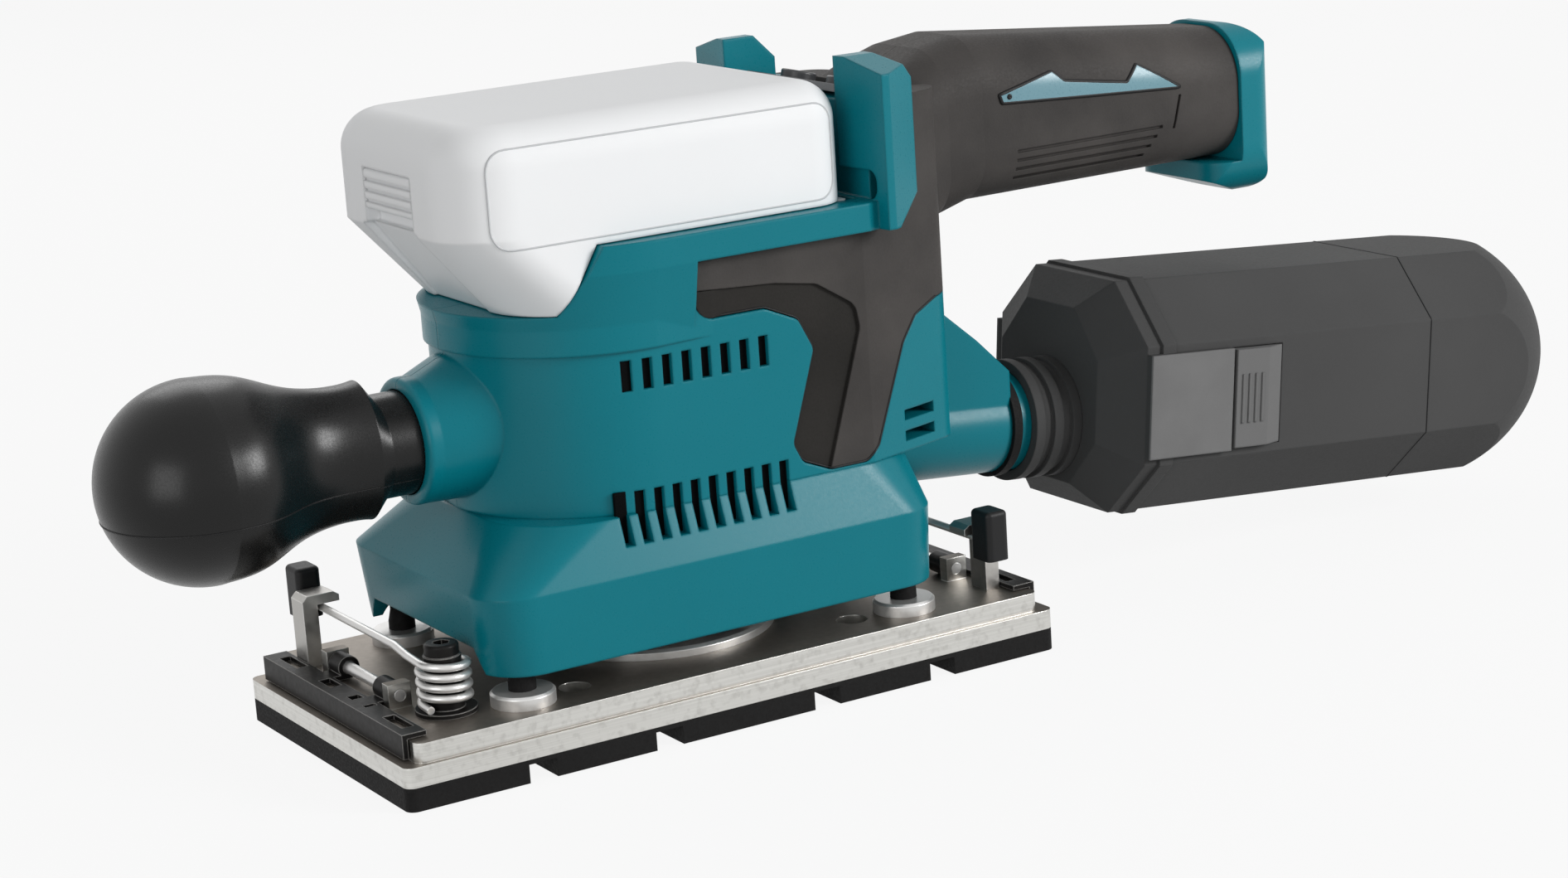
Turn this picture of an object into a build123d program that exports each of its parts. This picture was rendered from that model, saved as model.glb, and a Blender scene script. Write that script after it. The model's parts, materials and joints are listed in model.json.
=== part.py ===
from build123d import *
import math
import os

# Cordless one-third-sheet finishing sander.
# The origin is the middle of the pad's underside. +Z is up, the knob points along -X,
# the dust box along +X, and the left side of the tool faces -Y.

# Fits
beyond = 400.0
running_gap = 0.05
seat_gap = 0.1
part_gap = 0.3
slide_gap = 0.4

# Sanding pad
pad_length = 185.0
pad_width = 93.0
pad_corner = 2.5
rubber_thick = 5.8
groove_width = 7.4
groove_depth = 4.6
groove_places = (22.6, 57.2)
slab_thick = 5.0
step_thick = 5.0
step_inset_end = 3.8
step_inset_side = 1.2
dust_hole_radius = 4.0
dust_hole_x = 40.0
dust_hole_rows = (12.0, 32.0)

# Orbit drive
orbit_radius = 1.0
shaft_radius = 4.0
journal_radius = 5.0
bearing_radius = 11.0
bearing_width = 7.0
pad_bearing_radius = 13.0
pad_bearing_width = 8.0
retainer_radius = 31.0
retainer_thick = 2.6
retainer_hub_wall = 4.0
counterweight_radius = 25.0
counterweight_thick = 7.0
fan_radius = 28.0
fan_hub_radius = 9.0
fan_plate_thick = 1.5
fan_blade_height = 10.0
fan_blade_count = 13
fan_blade_thick = 1.4
stack_gap = 1.4

# Brushless motor
stator_radius = 25.0
stator_yoke = 4.5
stator_height = 17.0
tooth_count = 6
tooth_width = 6.0
air_gap = 0.6
rotor_radius = 12.6
coil_overhang = 2.6
coil_thick = 2.0
board_front = -30.0
board_rear = 26.0
board_half = 27.0
board_thick = 1.6
board_lift = 2.4
chip_count = 5
chip_pitch = 4.6
chip_length = 3.0
chip_half = 6.0
chip_height = 1.1

# Rubber legs between the pad and the skirt
leg_x = 54.8
leg_y = 33.7
leg_radius = 3.4
leg_height = 22.0
washer_radius = 8.0
washer_thick = 3.4

# Skirt
skirt_bottom = 24.0
skirt_ridge = 43.5
skirt_top = 57.0
skirt_foot_length = 127.0
skirt_foot_width = 83.0
skirt_ridge_length = 129.0
skirt_ridge_width = 85.4
skirt_corner = 12.0
skirt_arch_rise = 6.0
skirt_arch_width = 56.0
skirt_arch_run = 4.0
fan_chamber_radius = 31.0
deck_thick = 3.6
seal_thick = 2.0
seal_drop = 3.0

# Housing
body_half = 38.0
nose_x = -14.0
flank_end = 46.0
post_rear = 78.0
post_half = 28.0
post_corner = 8.0
post_top = 147.0
belt_low = 97.0
belt_proud = 1.2
belt_run = 16.0
bay_floor = 107.0
bay_rear = 50.0
bay_foot_x = -36.8
bay_lip_x = -27.0
rail_top = 123.4
tray_half = 42.0
tray_flange = 7.0
brow_low = 98.0
tray_floor = 111.8
tray_channel_half = 33.4
tray_overlap = 4.0
rail_low = 117.0
rail_high = 119.4
rail_reach = 3.4
bay_wall = 2.4
motor_chamber_radius = 31.0
motor_ring_height = 8.0
grip_thick = 2.4

# The overmould's outline in side view, in three runs, and the inner edge of the set-back part of its hook
grip_front_edge = ((-3.0, 116.0), (-3.0, 105.0), (1.0, 101.0), (17.0, 101.0), (26.0, 97.0), (30.0, 89.0),
                   (22.5, 66.0), (25.0, 61.0), (33.0, 57.6), (44.0, 57.6))
grip_rear_edge = ((48.0, 61.0), (59.0, 85.0), (64.0, 91.0), (72.0, 94.0), (84.0, 96.0))
grip_top_edge = ((66.0, 158.0), (64.0, 124.0), (54.0, 116.6))
grip_facet_edge = ((-3.0, 108.5), (20.0, 107.0), (32.0, 105.0), (43.0, 98.0), (44.0, 92.0), (28.5, 43.5))
grip_corner = 3.0
facet_corner = 5.0
seam_gap = 0.25
facet_depth = 0.9

# Screws through the two halves: place along and up, and the depth of the head's seat
screw_places = ((-40.0, 64.0, 19.0), (-36.0, 92.0, 22.0), (66.0, 77.0, 24.0), (71.0, 112.0, 18.0),
                (172.0, 131.0, 10.0))
screw_radius = 2.0
screw_head_radius = 3.4
screw_head_thick = 2.6
screw_length = 26.0
screw_drive_radius = 2.0

# Vents
vent_width = 2.7
vent_depth = 20.0
upper_vent_count = 8
upper_vent_pitch = 5.4
upper_vent_start = -22.0
upper_vent_low = 87.0
upper_vent_high = 94.6
lower_vent_count = 10
lower_vent_pitch = 5.05
lower_vent_start = -26.0
lower_vent_low = 50.0
lower_vent_high = 62.5
rear_vent_x = 58.0
rear_vent_length = 11.0
rear_vent_levels = (59.6, 65.0)

# Guard ears beside the switch panel
ear_front = 47.6
ear_inner = 26.7
ear_outer = 45.0
ear_rear = 63.0
ear_rear_half = 38.0
ear_foot_run = 9.0
ear_bevel = 6.2
ear_rake = 2.2
ear_top = 158.3
ear_top_outer = 154.5
ear_wall = 4.0
ear_notch_height = 7.5
ear_notch_depth = 9.0
ear_notch_round = 3.0

# Switch panel
panel_front_top = 150.2
panel_slope = 15.0
panel_thick = 2.0
panel_half = 24.0
panel_length = 17.0
button_radius = 4.6
button_height = 2.0
button_round = 0.6
button_travel = 0.8
button_spread = 11.0

# Handle
handle_start = 70.0
handle_front = 96.0
handle_end = 181.5
handle_front_half = 20.5
handle_end_half = 18.0
handle_bottom = 113.0
handle_front_top = 156.2
handle_end_top = 148.4
handle_root_bottom = 99.0
handle_corner = 14.0
inlay_proud = 0.5
inlay_points = ((101.4, 141.0), (118.7, 144.8), (122.3, 141.9), (143.0, 138.9), (147.1, 143.0),
                (161.0, 135.5), (130.7, 137.2), (102.1, 138.9))
panel_end_line = ((160.6, 133.4), (161.4, 133.4), (159.0, 124.6), (158.2, 124.6))
rib_count = 4
rib_front = 106.5
rib_rear = 150.0
rib_stagger = 1.6
rib_low = 118.0
rib_pitch = 2.4
rib_groove = 0.8
rib_depth = 0.7
cap_thick = 11.5
cap_foot_bottom = 102.6
cap_foot_reach = 9.0
cap_proud = 1.0
cap_round = 6.0
cap_heel_round = 10.0
cap_sole_round = 4.0
cap_toe_round = 8.8
cap_foot_tip = 5.0

# Front knob and its boss
knob_axis = 76.0
knob_ball_radius = 24.8
knob_ball_x = -117.6
knob_neck_radius = 17.2
knob_neck_half = 13.0
knob_neck_end = -76.0
knob_root_radius = 12.8
knob_root_x = -73.0
knob_split_drop = 7.0
# Sections behind the ball: place along, half width and half height
knob_stations = ((-112.0, 24.2, 24.4), (-106.0, 22.0, 23.3), (-101.0, 18.6, 21.4), (-96.0, 15.3, 19.3),
                 (-91.0, 13.4, 17.8))
boss_face_x = -65.2
boss_radius = 15.8
boss_edge = 1.5
flare_x = -44.0
flare_radius = 19.8
flare_lift = 3.4
boss_recess = 4.0
bolt_radius = 4.0
bolt_reach = 30.0

# Battery pack
pack_front = -63.0
pack_rear = 45.0
pack_half = 37.4
pack_top = 154.0
pack_corner = 16.0
pack_rear_corner = 11.0
pack_edge = 9.5
pack_chin = 127.8
pack_chin_run = 17.0
pack_foot_corner = 22.0
pack_wall = 2.6
cell_radius = 9.0
cell_length = 65.0
cell_count = 5
release_width = 26.0
release_height = 10.0
release_top = 141.6
release_ribs = 3
release_rib_pitch = 2.6
finger_dip = 2.4
finger_dip_half = 15.0
release_thick = 3.4
release_travel = 3.0
terminal_length = 24.0
terminal_half = 15.0
terminal_height = 8.4
terminal_base = 8.0
contact_gap = 1.2
blade_count = 3
blade_pitch = 9.0
blade_thick = 1.2
blade_margin = 1.5

# Dust nozzle and dust box
duct_tilt = 5.0
nozzle_axis = 49.0
nozzle_mouth_x = 119.0
nozzle_root = 60.0
spout_ring_x = 105.0
spout_ring_width = 2.6
spout_ring_proud = 1.2
nozzle_radius = 13.6
nozzle_bore = 11.0
fin_half = 12.0
fin_top = 89.5
fin_knee_x = 96.0
fin_knee_top = 76.0
fin_foot_x = 106.0
fin_foot_top = 66.0
collar_length = 15.0
collar_wall = 2.6
collar_rings = 2
box_lift = 7.0
box_front_x = 126.0
box_length = 169.0
box_half_width = 33.4
box_half_height = 31.6
box_side_half = 16.0
box_top_half = 18.0
box_nose = 8.0
box_front_half = 22.0
box_front_half_height = 24.0
cover_length = 17.0
cover_rim = 0.8
cover_rim_length = 4.5
box_wall = 2.2
dome_length = 46.0
dome_radius = 38.0
arm_length = 29.0
arm_half = 14.0
arm_thick = 2.2
thumb_length = 17.0
thumb_flat = 11.0
thumb_slot = 1.2
thumb_margin = 0.6
thumb_thick = 2.0
thumb_travel = 1.5
thumb_ribs = 4
thumb_rib_pitch = 2.2
filter_depth = 22.0
filter_rim = 3.0
filter_frame = 3.0
filter_pleats = 8
filter_paper = 2.0

# Paper clamps, drawn for the front and turned half round for the rear
wire_radius = 1.0
coil_radius = 5.9
coil_pitch = 2.6
coil_turns = 4
lever_post_x = -72.0
lever_post_y = -27.0
lever_rise = 1.6
lever_far_y = 43.0
lever_lead = 7.0
lever_bend = 5.0
lever_tail = 4.0
cap_cover = 3.0
cap_end = 1.4
post_base_thick = 1.2
post_base_radius = 7.6
post_head_radius = 4.2
post_head_thick = 3.0
catch_y = 31.5
catch_width = 7.0
catch_thick = 4.0
catch_standoff = 0.8
catch_cover = 3.2
catch_top_thick = 2.6
cap_width = 6.6
cap_length = 8.4
cap_height = 13.0
cap_below = 4.2
cap_edge = 1.6
clamp_lip_thick = 1.4
clamp_lip_half = 41.0
clamp_lip_lift = 0.5
clamp_flange = 5.0
clamp_sheet = 1.3
clamp_windows = 4
clamp_window_length = 11.0
clamp_arms = (-11.0, 15.0)
clamp_arm_width = 6.0
pin_radius = 1.5
pin_x = -79.6
pin_rise = 3.2
knuckle_wall = 1.3
lug_width = 3.2

# Heights that follow from the sizes above
slab_top = rubber_thick + slab_thick
plate_top = slab_top + step_thick
step_end = pad_length / 2 - step_inset_end
motor_x = -orbit_radius
hub_top = plate_top + retainer_thick + pad_bearing_width
weight_low = hub_top + stack_gap
fan_low = weight_low + counterweight_thick + stack_gap
fan_top = fan_low + fan_blade_height + fan_plate_thick
deck_low = skirt_top - deck_thick
lower_bearing_low = skirt_top
stator_low = lower_bearing_low + bearing_width + coil_overhang + stack_gap
stator_top = stator_low + stator_height
upper_bearing_low = stator_top + coil_overhang + stack_gap
upper_bearing_top = upper_bearing_low + bearing_width
stator_bore = rotor_radius + air_gap
pin_z = plate_top + pin_rise
wire_x = lever_post_x - coil_radius
coil_low = plate_top + post_base_thick + part_gap + wire_radius
coil_top = coil_low + coil_turns * coil_pitch
wire_z = coil_top + lever_rise


def block(x0, x1, y0, y1, z0, z1):
    """A box between two corners."""
    return Pos(x0, y0, z0) * Box(x1 - x0, y1 - y0, z1 - z0, align=(Align.MIN, Align.MIN, Align.MIN))


def upright(radius, x, y, z0, z1):
    """A round bar standing along Z."""
    return extrude(Plane((x, y, z0)) * Circle(radius), z1 - z0)


def bar_x(radius, x0, x1, y, z):
    """A round bar lying along X."""
    return extrude(Plane((x0, y, z), x_dir=(0, 1, 0), z_dir=(1, 0, 0)) * Circle(radius), x1 - x0)


def bar_y(radius, x, y0, y1, z):
    """A round bar lying along Y."""
    return extrude(Plane((x, y0, z), x_dir=(0, 0, 1), z_dir=(0, 1, 0)) * Circle(radius), y1 - y0)


def ring(outer, inner, x, y, z0, z1):
    """A round sleeve standing along Z."""
    return upright(outer, x, y, z0, z1) - upright(inner, x, y, z0, z1)


def from_plan(outline, z0, z1):
    """An outline in plan, raised from one height to another."""
    return extrude(Pos(0, 0, z0) * outline, z1 - z0, dir=(0, 0, 1))


def from_side(outline, y0, y1):
    """An outline in side view (X, Z), carried across from y0 to y1."""
    return extrude(Plane((0, y1, 0), x_dir=(1, 0, 0), z_dir=(0, -1, 0)) * outline, y1 - y0, dir=(0, -1, 0))


def across(x):
    """The plane across the tool at x, with Y to the right and Z up."""
    return Plane((x, 0, 0), x_dir=(0, 1, 0), z_dir=(1, 0, 0))


def from_front(outline, x0, x1):
    """An outline in front view (Y, Z), carried along from x0 to x1."""
    return extrude(across(x0) * outline, x1 - x0, dir=(1, 0, 0))


def shape(*points):
    return Polygon(*points, align=None)


def left_half(solid):
    return solid & block(-beyond, beyond, -beyond, 0, -beyond, beyond)


def right_half(solid):
    return solid & block(-beyond, beyond, 0, beyond, -beyond, beyond)


def both_ends(solid):
    """A front clamp piece and its twin at the rear, turned half round about Z."""
    return [solid, Rot(0, 0, 180) * solid]


def turned(x, points):
    """A body of revolution about the vertical line at x, from (radius, height) points."""
    outline = Plane.XZ * shape(*points)
    return Pos(x, 0, 0) * revolve(outline, axis=Axis.Z)


def save(name, *solids):
    """Write one piece, or a group of separate like pieces, as a STEP file."""
    piece = solids[0] if len(solids) == 1 else Compound(children=list(solids))
    export_step(piece, "parts/" + name + ".step")


# Sanding pad


def pad_outline(inset_end, inset_side):
    return RectangleRounded(pad_length - 2 * inset_end, pad_width - 2 * inset_side, pad_corner)


def dust_holes(z0, z1):
    holes = []
    for x in (-dust_hole_x, dust_hole_x):
        for row in dust_hole_rows:
            holes.append(upright(dust_hole_radius, x, row, z0, z1))
            holes.append(upright(dust_hole_radius, x, -row, z0, z1))
    return holes


def rubber_pad():
    """The rubber backing, with grooves across it that let it flex and clear dust."""
    pad = from_plan(pad_outline(0, 0), 0, rubber_thick)
    for place in groove_places:
        for x in (-place, place):
            pad -= block(x - groove_width / 2, x + groove_width / 2, -pad_width, pad_width, 0, groove_depth)
    return pad - dust_holes(0, rubber_thick)


def hinge_lugs():
    """Two ears on the plate that hold the front clamp's pin."""
    lugs = []
    for side, arm in ((-1, clamp_arms[0]), (1, clamp_arms[1])):
        near = arm + side * (clamp_arm_width / 2 + part_gap)
        far = near + side * lug_width
        lug = block(pin_x - 3, pin_x + 3, min(near, far), max(near, far), plate_top - 1, pin_z + 3)
        lugs.append(lug - bar_y(pin_radius, pin_x, min(near, far), max(near, far), pin_z))
    return lugs


def base_plate():
    """The aluminium casting: a slab, a slightly smaller step on it, and the clamp hinges."""
    plate = from_plan(pad_outline(0, 0), rubber_thick, slab_top)
    plate += from_plan(pad_outline(step_inset_end, step_inset_side), slab_top, plate_top)
    for lug in hinge_lugs():
        for end in both_ends(lug):
            plate += end
    return plate - dust_holes(rubber_thick, plate_top)


def bearing_retainer():
    """The bright disc on the plate, with the cup that the pad bearing sits in."""
    cup = pad_bearing_radius + retainer_hub_wall
    low = plate_top
    disc_top = plate_top + retainer_thick
    return turned(0, ((journal_radius + stack_gap, low), (retainer_radius, low),
                      (retainer_radius, disc_top - 0.8), (retainer_radius - 0.8, disc_top),
                      (cup + 2, disc_top), (cup, disc_top + 2), (cup, hub_top),
                      (pad_bearing_radius, hub_top), (pad_bearing_radius, disc_top),
                      (journal_radius + stack_gap, disc_top)))


def ball_bearing(x, bore, outer, z0, width):
    """A sealed bearing: two races with a shallow shield between them on each face."""
    shield = 0.6
    race = (outer - bore) * 0.3
    return turned(x, ((bore, z0), (bore + race, z0), (bore + race, z0 + shield),
                      (outer - race, z0 + shield), (outer - race, z0), (outer, z0),
                      (outer, z0 + width), (outer - race, z0 + width), (outer - race, z0 + width - shield),
                      (bore + race, z0 + width - shield), (bore + race, z0 + width), (bore, z0 + width)))


def retainer_screws():
    screws = []
    reach = (retainer_radius + pad_bearing_radius + retainer_hub_wall) / 2 + 1
    top = plate_top + retainer_thick
    for quarter in range(4):
        angle = math.radians(45 + 90 * quarter)
        x = reach * math.cos(angle)
        y = reach * math.sin(angle)
        head = upright(3.2, x, y, top, top + 2.2)
        screws.append(head - extrude(Pos(x, y, top + 1) * RegularPolygon(1.6, 6), 1.2))
    return screws


def at_legs(make):
    """One copy of a piece at each of the four legs."""
    return [make(x, y) for x in (-leg_x, leg_x) for y in (-leg_y, leg_y)]


def pad_leg(x, y):
    low = plate_top
    top = plate_top + leg_height
    waist = leg_radius * 0.8
    leg = Pos(0, y, 0) * turned(x, ((0, low), (leg_radius, low), (leg_radius, low + washer_thick + 2),
                                    (waist, low + washer_thick + 5), (waist, top - 6),
                                    (leg_radius, top - 4), (leg_radius, top), (0, top)))
    return leg


def leg_washer(x, y):
    return Pos(0, y, 0) * turned(x, ((leg_radius, plate_top), (washer_radius, plate_top),
                                     (washer_radius, plate_top + washer_thick - 0.6),
                                     (washer_radius - 0.6, plate_top + washer_thick),
                                     (leg_radius, plate_top + washer_thick)))


# Drive train


def motor_shaft():
    """The shaft, with the eccentric journal at its foot that swings the pad round."""
    top = upper_bearing_top - part_gap
    shaft = upright(shaft_radius, motor_x, 0, weight_low - stack_gap / 2, top)
    journal_top = hub_top + stack_gap / 2
    shaft += upright(journal_radius - running_gap, 0, 0, plate_top + part_gap, journal_top)
    return shaft


def counterweight():
    """A half disc on the side away from the journal, which balances the pad."""
    top = weight_low + counterweight_thick
    weight = upright(counterweight_radius, motor_x, 0, weight_low, top)
    weight &= block(-beyond, motor_x, -beyond, beyond, weight_low, top)
    weight += upright(fan_hub_radius, motor_x, 0, weight_low, top)
    return weight - upright(shaft_radius, motor_x, 0, weight_low, top)


def fan_blade():
    """One swept blade in plan, bounded by two arcs."""
    inner = fan_hub_radius - 0.5
    outer = fan_radius
    middle = (inner + outer) / 2
    sweep_back = 9.0
    front = ThreePointArc((inner, 0), (middle, sweep_back * 0.32), (outer - 2, sweep_back))
    rear = ThreePointArc((outer - 1.4, sweep_back - fan_blade_thick),
                         (middle, sweep_back * 0.32 - fan_blade_thick), (inner, -fan_blade_thick))
    return make_face([front, Line(front @ 1, rear @ 0), rear, Line(rear @ 1, front @ 0)])


def cooling_fan():
    plate_low = fan_low + fan_blade_height
    fan = upright(fan_radius, motor_x, 0, plate_low, fan_top)
    fan += upright(fan_hub_radius, motor_x, 0, fan_low, plate_low)
    blade = from_plan(fan_blade(), fan_low, plate_low)
    for index in range(fan_blade_count):
        fan += Pos(motor_x, 0, 0) * Rot(0, 0, index * 360 / fan_blade_count) * blade
    return fan - upright(shaft_radius, motor_x, 0, fan_low, fan_top)


def rotor_core():
    """The magnet drum on the shaft, with a groove at each end for balancing."""
    low = stator_low - 1
    top = stator_top + 1
    return turned(motor_x, ((shaft_radius, low), (rotor_radius - 2, low), (rotor_radius, low + 2),
                            (rotor_radius, top - 2), (rotor_radius - 2, top), (shaft_radius, top)))


def stator_core():
    """Laminations with inward teeth."""
    plan = Circle(stator_radius) - Circle(stator_radius - stator_yoke)
    reach = stator_radius - stator_yoke / 2
    for index in range(tooth_count):
        tooth = Pos(reach / 2, 0) * Rectangle(reach, tooth_width)
        plan += Rot(0, 0, index * 360 / tooth_count) * tooth
    plan -= Circle(stator_bore)
    return from_plan(Pos(motor_x, 0) * plan, stator_low, stator_top)


def stator_coil(index):
    """One winding round its tooth."""
    inner = stator_bore + 1.6
    outer = stator_radius - stator_yoke - 1.2
    half = tooth_width / 2
    core_half = half + coil_thick
    low = stator_low - coil_overhang
    top = stator_top + coil_overhang
    coil = block(inner, outer, -core_half, core_half, low, top)
    coil = fillet(coil.edges().filter_by(Axis.X), coil_thick * 0.9)
    coil -= block(inner, outer, -half, half, stator_low, stator_top)
    return Pos(motor_x, 0, 0) * Rot(0, 0, index * 360 / tooth_count) * coil


def motor_bracket():
    """The plate on the deck, with a cup that holds the lower bearing."""
    low = lower_bearing_low
    flange = motor_chamber_radius - 2
    cup = bearing_radius + 3
    top = low + bearing_width
    return turned(motor_x, ((bearing_radius, low), (flange, low), (flange, low + 2), (cup, low + 2.6),
                            (cup, top), (bearing_radius, top)))


def control_board():
    """The motor driver: a board with its capacitor, chips and heat spreader."""
    low = upper_bearing_top + board_lift
    top = low + board_thick
    board = block(board_front, board_rear, -board_half, board_half, low, top)
    spread = board_half - chip_pitch
    board += block(board_front + chip_pitch, -chip_pitch, -spread, spread, top, top + 2 * chip_height)
    for index in range(chip_count):
        x = index * chip_pitch
        for y in (-board_half / 2, board_half / 2):
            board += block(x, x + chip_length, y - chip_half, y + chip_half, top, top + chip_height)
    return board


# Skirt


def skirt_form():
    """Tapered walls up to a ridge, then a shoulder in to the body."""
    foot = Pos(0, 0, skirt_bottom) * RectangleRounded(skirt_foot_length, skirt_foot_width, skirt_corner)
    ridge = Pos(-1, 0, skirt_ridge) * RectangleRounded(skirt_ridge_length, skirt_ridge_width, skirt_corner)
    walls = loft([foot, ridge], ruled=True)
    top_length = body_half - nose_x + post_rear - 14
    top_middle = (nose_x - body_half + post_rear - 14) / 2
    top = Pos(top_middle, 0, skirt_top) * RectangleRounded(top_length, 2 * body_half, body_half * 0.6)
    shoulder = loft([ridge, top], ruled=True)
    return walls + shoulder


def leg_sockets():
    reach = leg_radius + orbit_radius + part_gap + slide_gap
    top = plate_top + leg_height + part_gap + slide_gap
    return at_legs(lambda x, y: upright(reach, motor_x + x, y, skirt_bottom, top))


def skirt_arch():
    """The raised cut-out at each end that clears the clamp wires."""
    half = skirt_arch_width / 2
    top = skirt_bottom + skirt_arch_rise
    foot = half + skirt_arch_run
    outline = shape((-foot, skirt_bottom), (foot, skirt_bottom), (half, top), (-half, top))
    return from_front(outline, -skirt_ridge_length, skirt_ridge_length)


def lower_vents():
    return vent_row(lower_vent_count, lower_vent_start, lower_vent_pitch, lower_vent_low, lower_vent_high)


def base_skirt():
    skirt = skirt_form()
    skirt -= upright(fan_chamber_radius, motor_x, 0, skirt_bottom, deck_low)
    skirt -= upright(bearing_radius - 2, motor_x, 0, deck_low, skirt_top)
    skirt -= leg_sockets()
    skirt -= skirt_arch()
    skirt -= lower_vents()
    skirt -= duct(nozzle_bore, 20, nozzle_mouth_x)
    return skirt - nozzle_form(seat_gap)


def skirt_seal():
    """A soft curtain inside the skirt's edge that keeps the dust in."""
    top = skirt_bottom + skirt_arch_rise + 4
    low = skirt_bottom - seal_drop
    outer = fan_chamber_radius - part_gap
    return ring(outer, outer - seal_thick, motor_x, 0, low, top)


# Housing


def vent_row(count, start, pitch, low, high):
    """A row of upright slots through both side walls."""
    slots = []
    reach = tray_half + 4
    for index in range(count):
        x = start + index * pitch
        for side in (-1, 1):
            y0 = side * (reach - vent_depth)
            y1 = side * reach
            slots.append(block(x - vent_width / 2, x + vent_width / 2, min(y0, y1), max(y0, y1), low, high))
    return slots


def body_plan(inset):
    """Round nose, straight flanks and a tapered tail, seen from above."""
    half = body_half - inset
    tail = post_half - inset
    rear = post_rear - inset
    tail_shape = shape((nose_x, -half), (flank_end, -half), (rear, -tail), (rear, tail), (flank_end, half),
                       (nose_x, half))
    corners = tail_shape.vertices().group_by(Axis.X)[-1]
    return fillet(corners, post_corner) + Pos(nose_x, 0) * Circle(half)


def handle_section(x, half, low, high, inset):
    corner = min(handle_corner, half - 1, (high - low) / 2 - 1) - inset * 0.5
    outline = RectangleRounded(2 * (half - inset), high - low - 2 * inset, corner)
    return across(x) * Pos(0, (low + high) / 2) * outline


def handle_form(inset):
    """The grip bar: it swells out of the post, then tapers to its end."""
    run = handle_front - handle_start
    stations = []
    for share, flare in ((0.0, 1.0), (0.25, 0.56), (0.55, 0.2), (1.0, 0.0)):
        x = handle_start + share * run
        half = handle_front_half + flare * (post_half - handle_front_half - 1)
        low = handle_bottom - flare * (handle_bottom - handle_root_bottom)
        high = handle_front_top - flare * (handle_front_top - post_top)
        stations.append(handle_section(x, half, low, high, inset))
    stations.append(handle_section(handle_end, handle_end_half, handle_bottom, handle_end_top, inset))
    return loft(stations, ruled=True)


def battery_bay():
    """All that is cut away above the tray for the battery to sit in."""
    outline = shape((-beyond, bay_floor), (bay_foot_x, bay_floor), (bay_lip_x, rail_top),
                    (bay_rear, rail_top), (bay_rear, beyond), (-beyond, beyond))
    return from_side(outline, -beyond, beyond)


def body_form(inset):
    """The outer form of the housing, or the same form drawn in by an even depth."""
    trunk = from_plan(body_plan(inset), skirt_top, post_top - inset)
    return trunk - battery_bay() + handle_form(inset)


def grip_region(inset):
    """Where the soft overmould lies, a hooked panel on each side, the post and the handle, less a seam."""
    rear = ((handle_end, handle_root_bottom - grip_thick), (handle_end, handle_front_top + grip_thick))
    outline = shape(*grip_front_edge, *grip_rear_edge, *rear, *grip_top_edge)
    corners = outline.vertices().filter_by(lambda corner: corner.X < post_rear)
    outline = fillet(corners, grip_corner)
    if inset > 0:
        outline = offset(outline, -inset)
    return from_side(outline, -beyond, beyond)


def grip_facet():
    """The part of the hook that is set back, on the side of the vents."""
    start = (nose_x, grip_facet_edge[0][1])
    end = (nose_x, grip_facet_edge[-1][1])
    outline = shape(start, *grip_facet_edge, end)
    bends = outline.vertices().sort_by(Axis.X)[-3:]
    outline = fillet(bends, facet_corner)
    layer = body_form(0) - body_form(facet_depth)
    return layer & from_side(outline, -beyond, beyond)


def rib_grooves():
    """Level grooves low on the sides of the handle, and the line that closes their panel."""
    grooves = []
    for index in range(rib_count):
        z = rib_low + index * rib_pitch
        rear = rib_rear + index * rib_stagger
        grooves.append(block(rib_front, rear, -beyond, beyond, z, z + rib_groove))
    grooves.append(from_side(shape(*panel_end_line), -beyond, beyond))
    return grooves


def inlay_outline():
    """A low crown: two peaks joined by a bar, with a blunt front end."""
    return shape(*inlay_points)


def motor_cavity():
    """The round chamber for the motor, its ring seat, the bearing pocket and the board's slot."""
    low = skirt_top
    ring_low = stator_low + (stator_height - motor_ring_height) / 2
    ring_top = ring_low + motor_ring_height
    chamber = upright(motor_chamber_radius, motor_x, 0, low, ring_low)
    chamber += upright(stator_radius, motor_x, 0, ring_low, ring_top)
    chamber += upright(motor_chamber_radius, motor_x, 0, ring_top, upper_bearing_low)
    chamber += upright(bearing_radius, motor_x, 0, upper_bearing_low, upper_bearing_top)
    slot_low = upper_bearing_top + board_lift
    slot_top = slot_low + board_thick + 2 * chip_height + part_gap
    half = board_half + part_gap
    chamber += block(board_front - part_gap, board_rear + part_gap, -half, half, slot_low, slot_top)
    return chamber


def tray_walls():
    """The fuller top of the side walls that the battery slides between, and the brow that leads up to it."""
    low = rail_top - tray_flange
    proud = body_half - tray_half
    walls = from_plan(body_plan(proud), low, rail_top)
    walls &= block(-beyond, bay_rear + tray_overlap, -beyond, beyond, low, rail_top)
    brow = loft([Pos(0, 0, brow_low) * body_plan(0), Pos(0, 0, low) * body_plan(proud)], ruled=True)
    grip_start = grip_front_edge[0][0]
    return walls + (brow & block(-beyond, grip_start, -beyond, beyond, brow_low, low))


def battery_channel():
    """The slot between the walls, less the two rails left standing in it."""
    half = tray_channel_half
    channel = block(-beyond, bay_rear - bay_wall, -half, half, tray_floor, rail_top)
    for side in (-1, 1):
        y0 = side * (tray_channel_half - rail_reach)
        y1 = side * tray_channel_half
        channel -= block(bay_lip_x + 3, bay_rear - bay_wall, min(y0, y1), max(y0, y1), rail_low, rail_high)
    return channel


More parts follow.
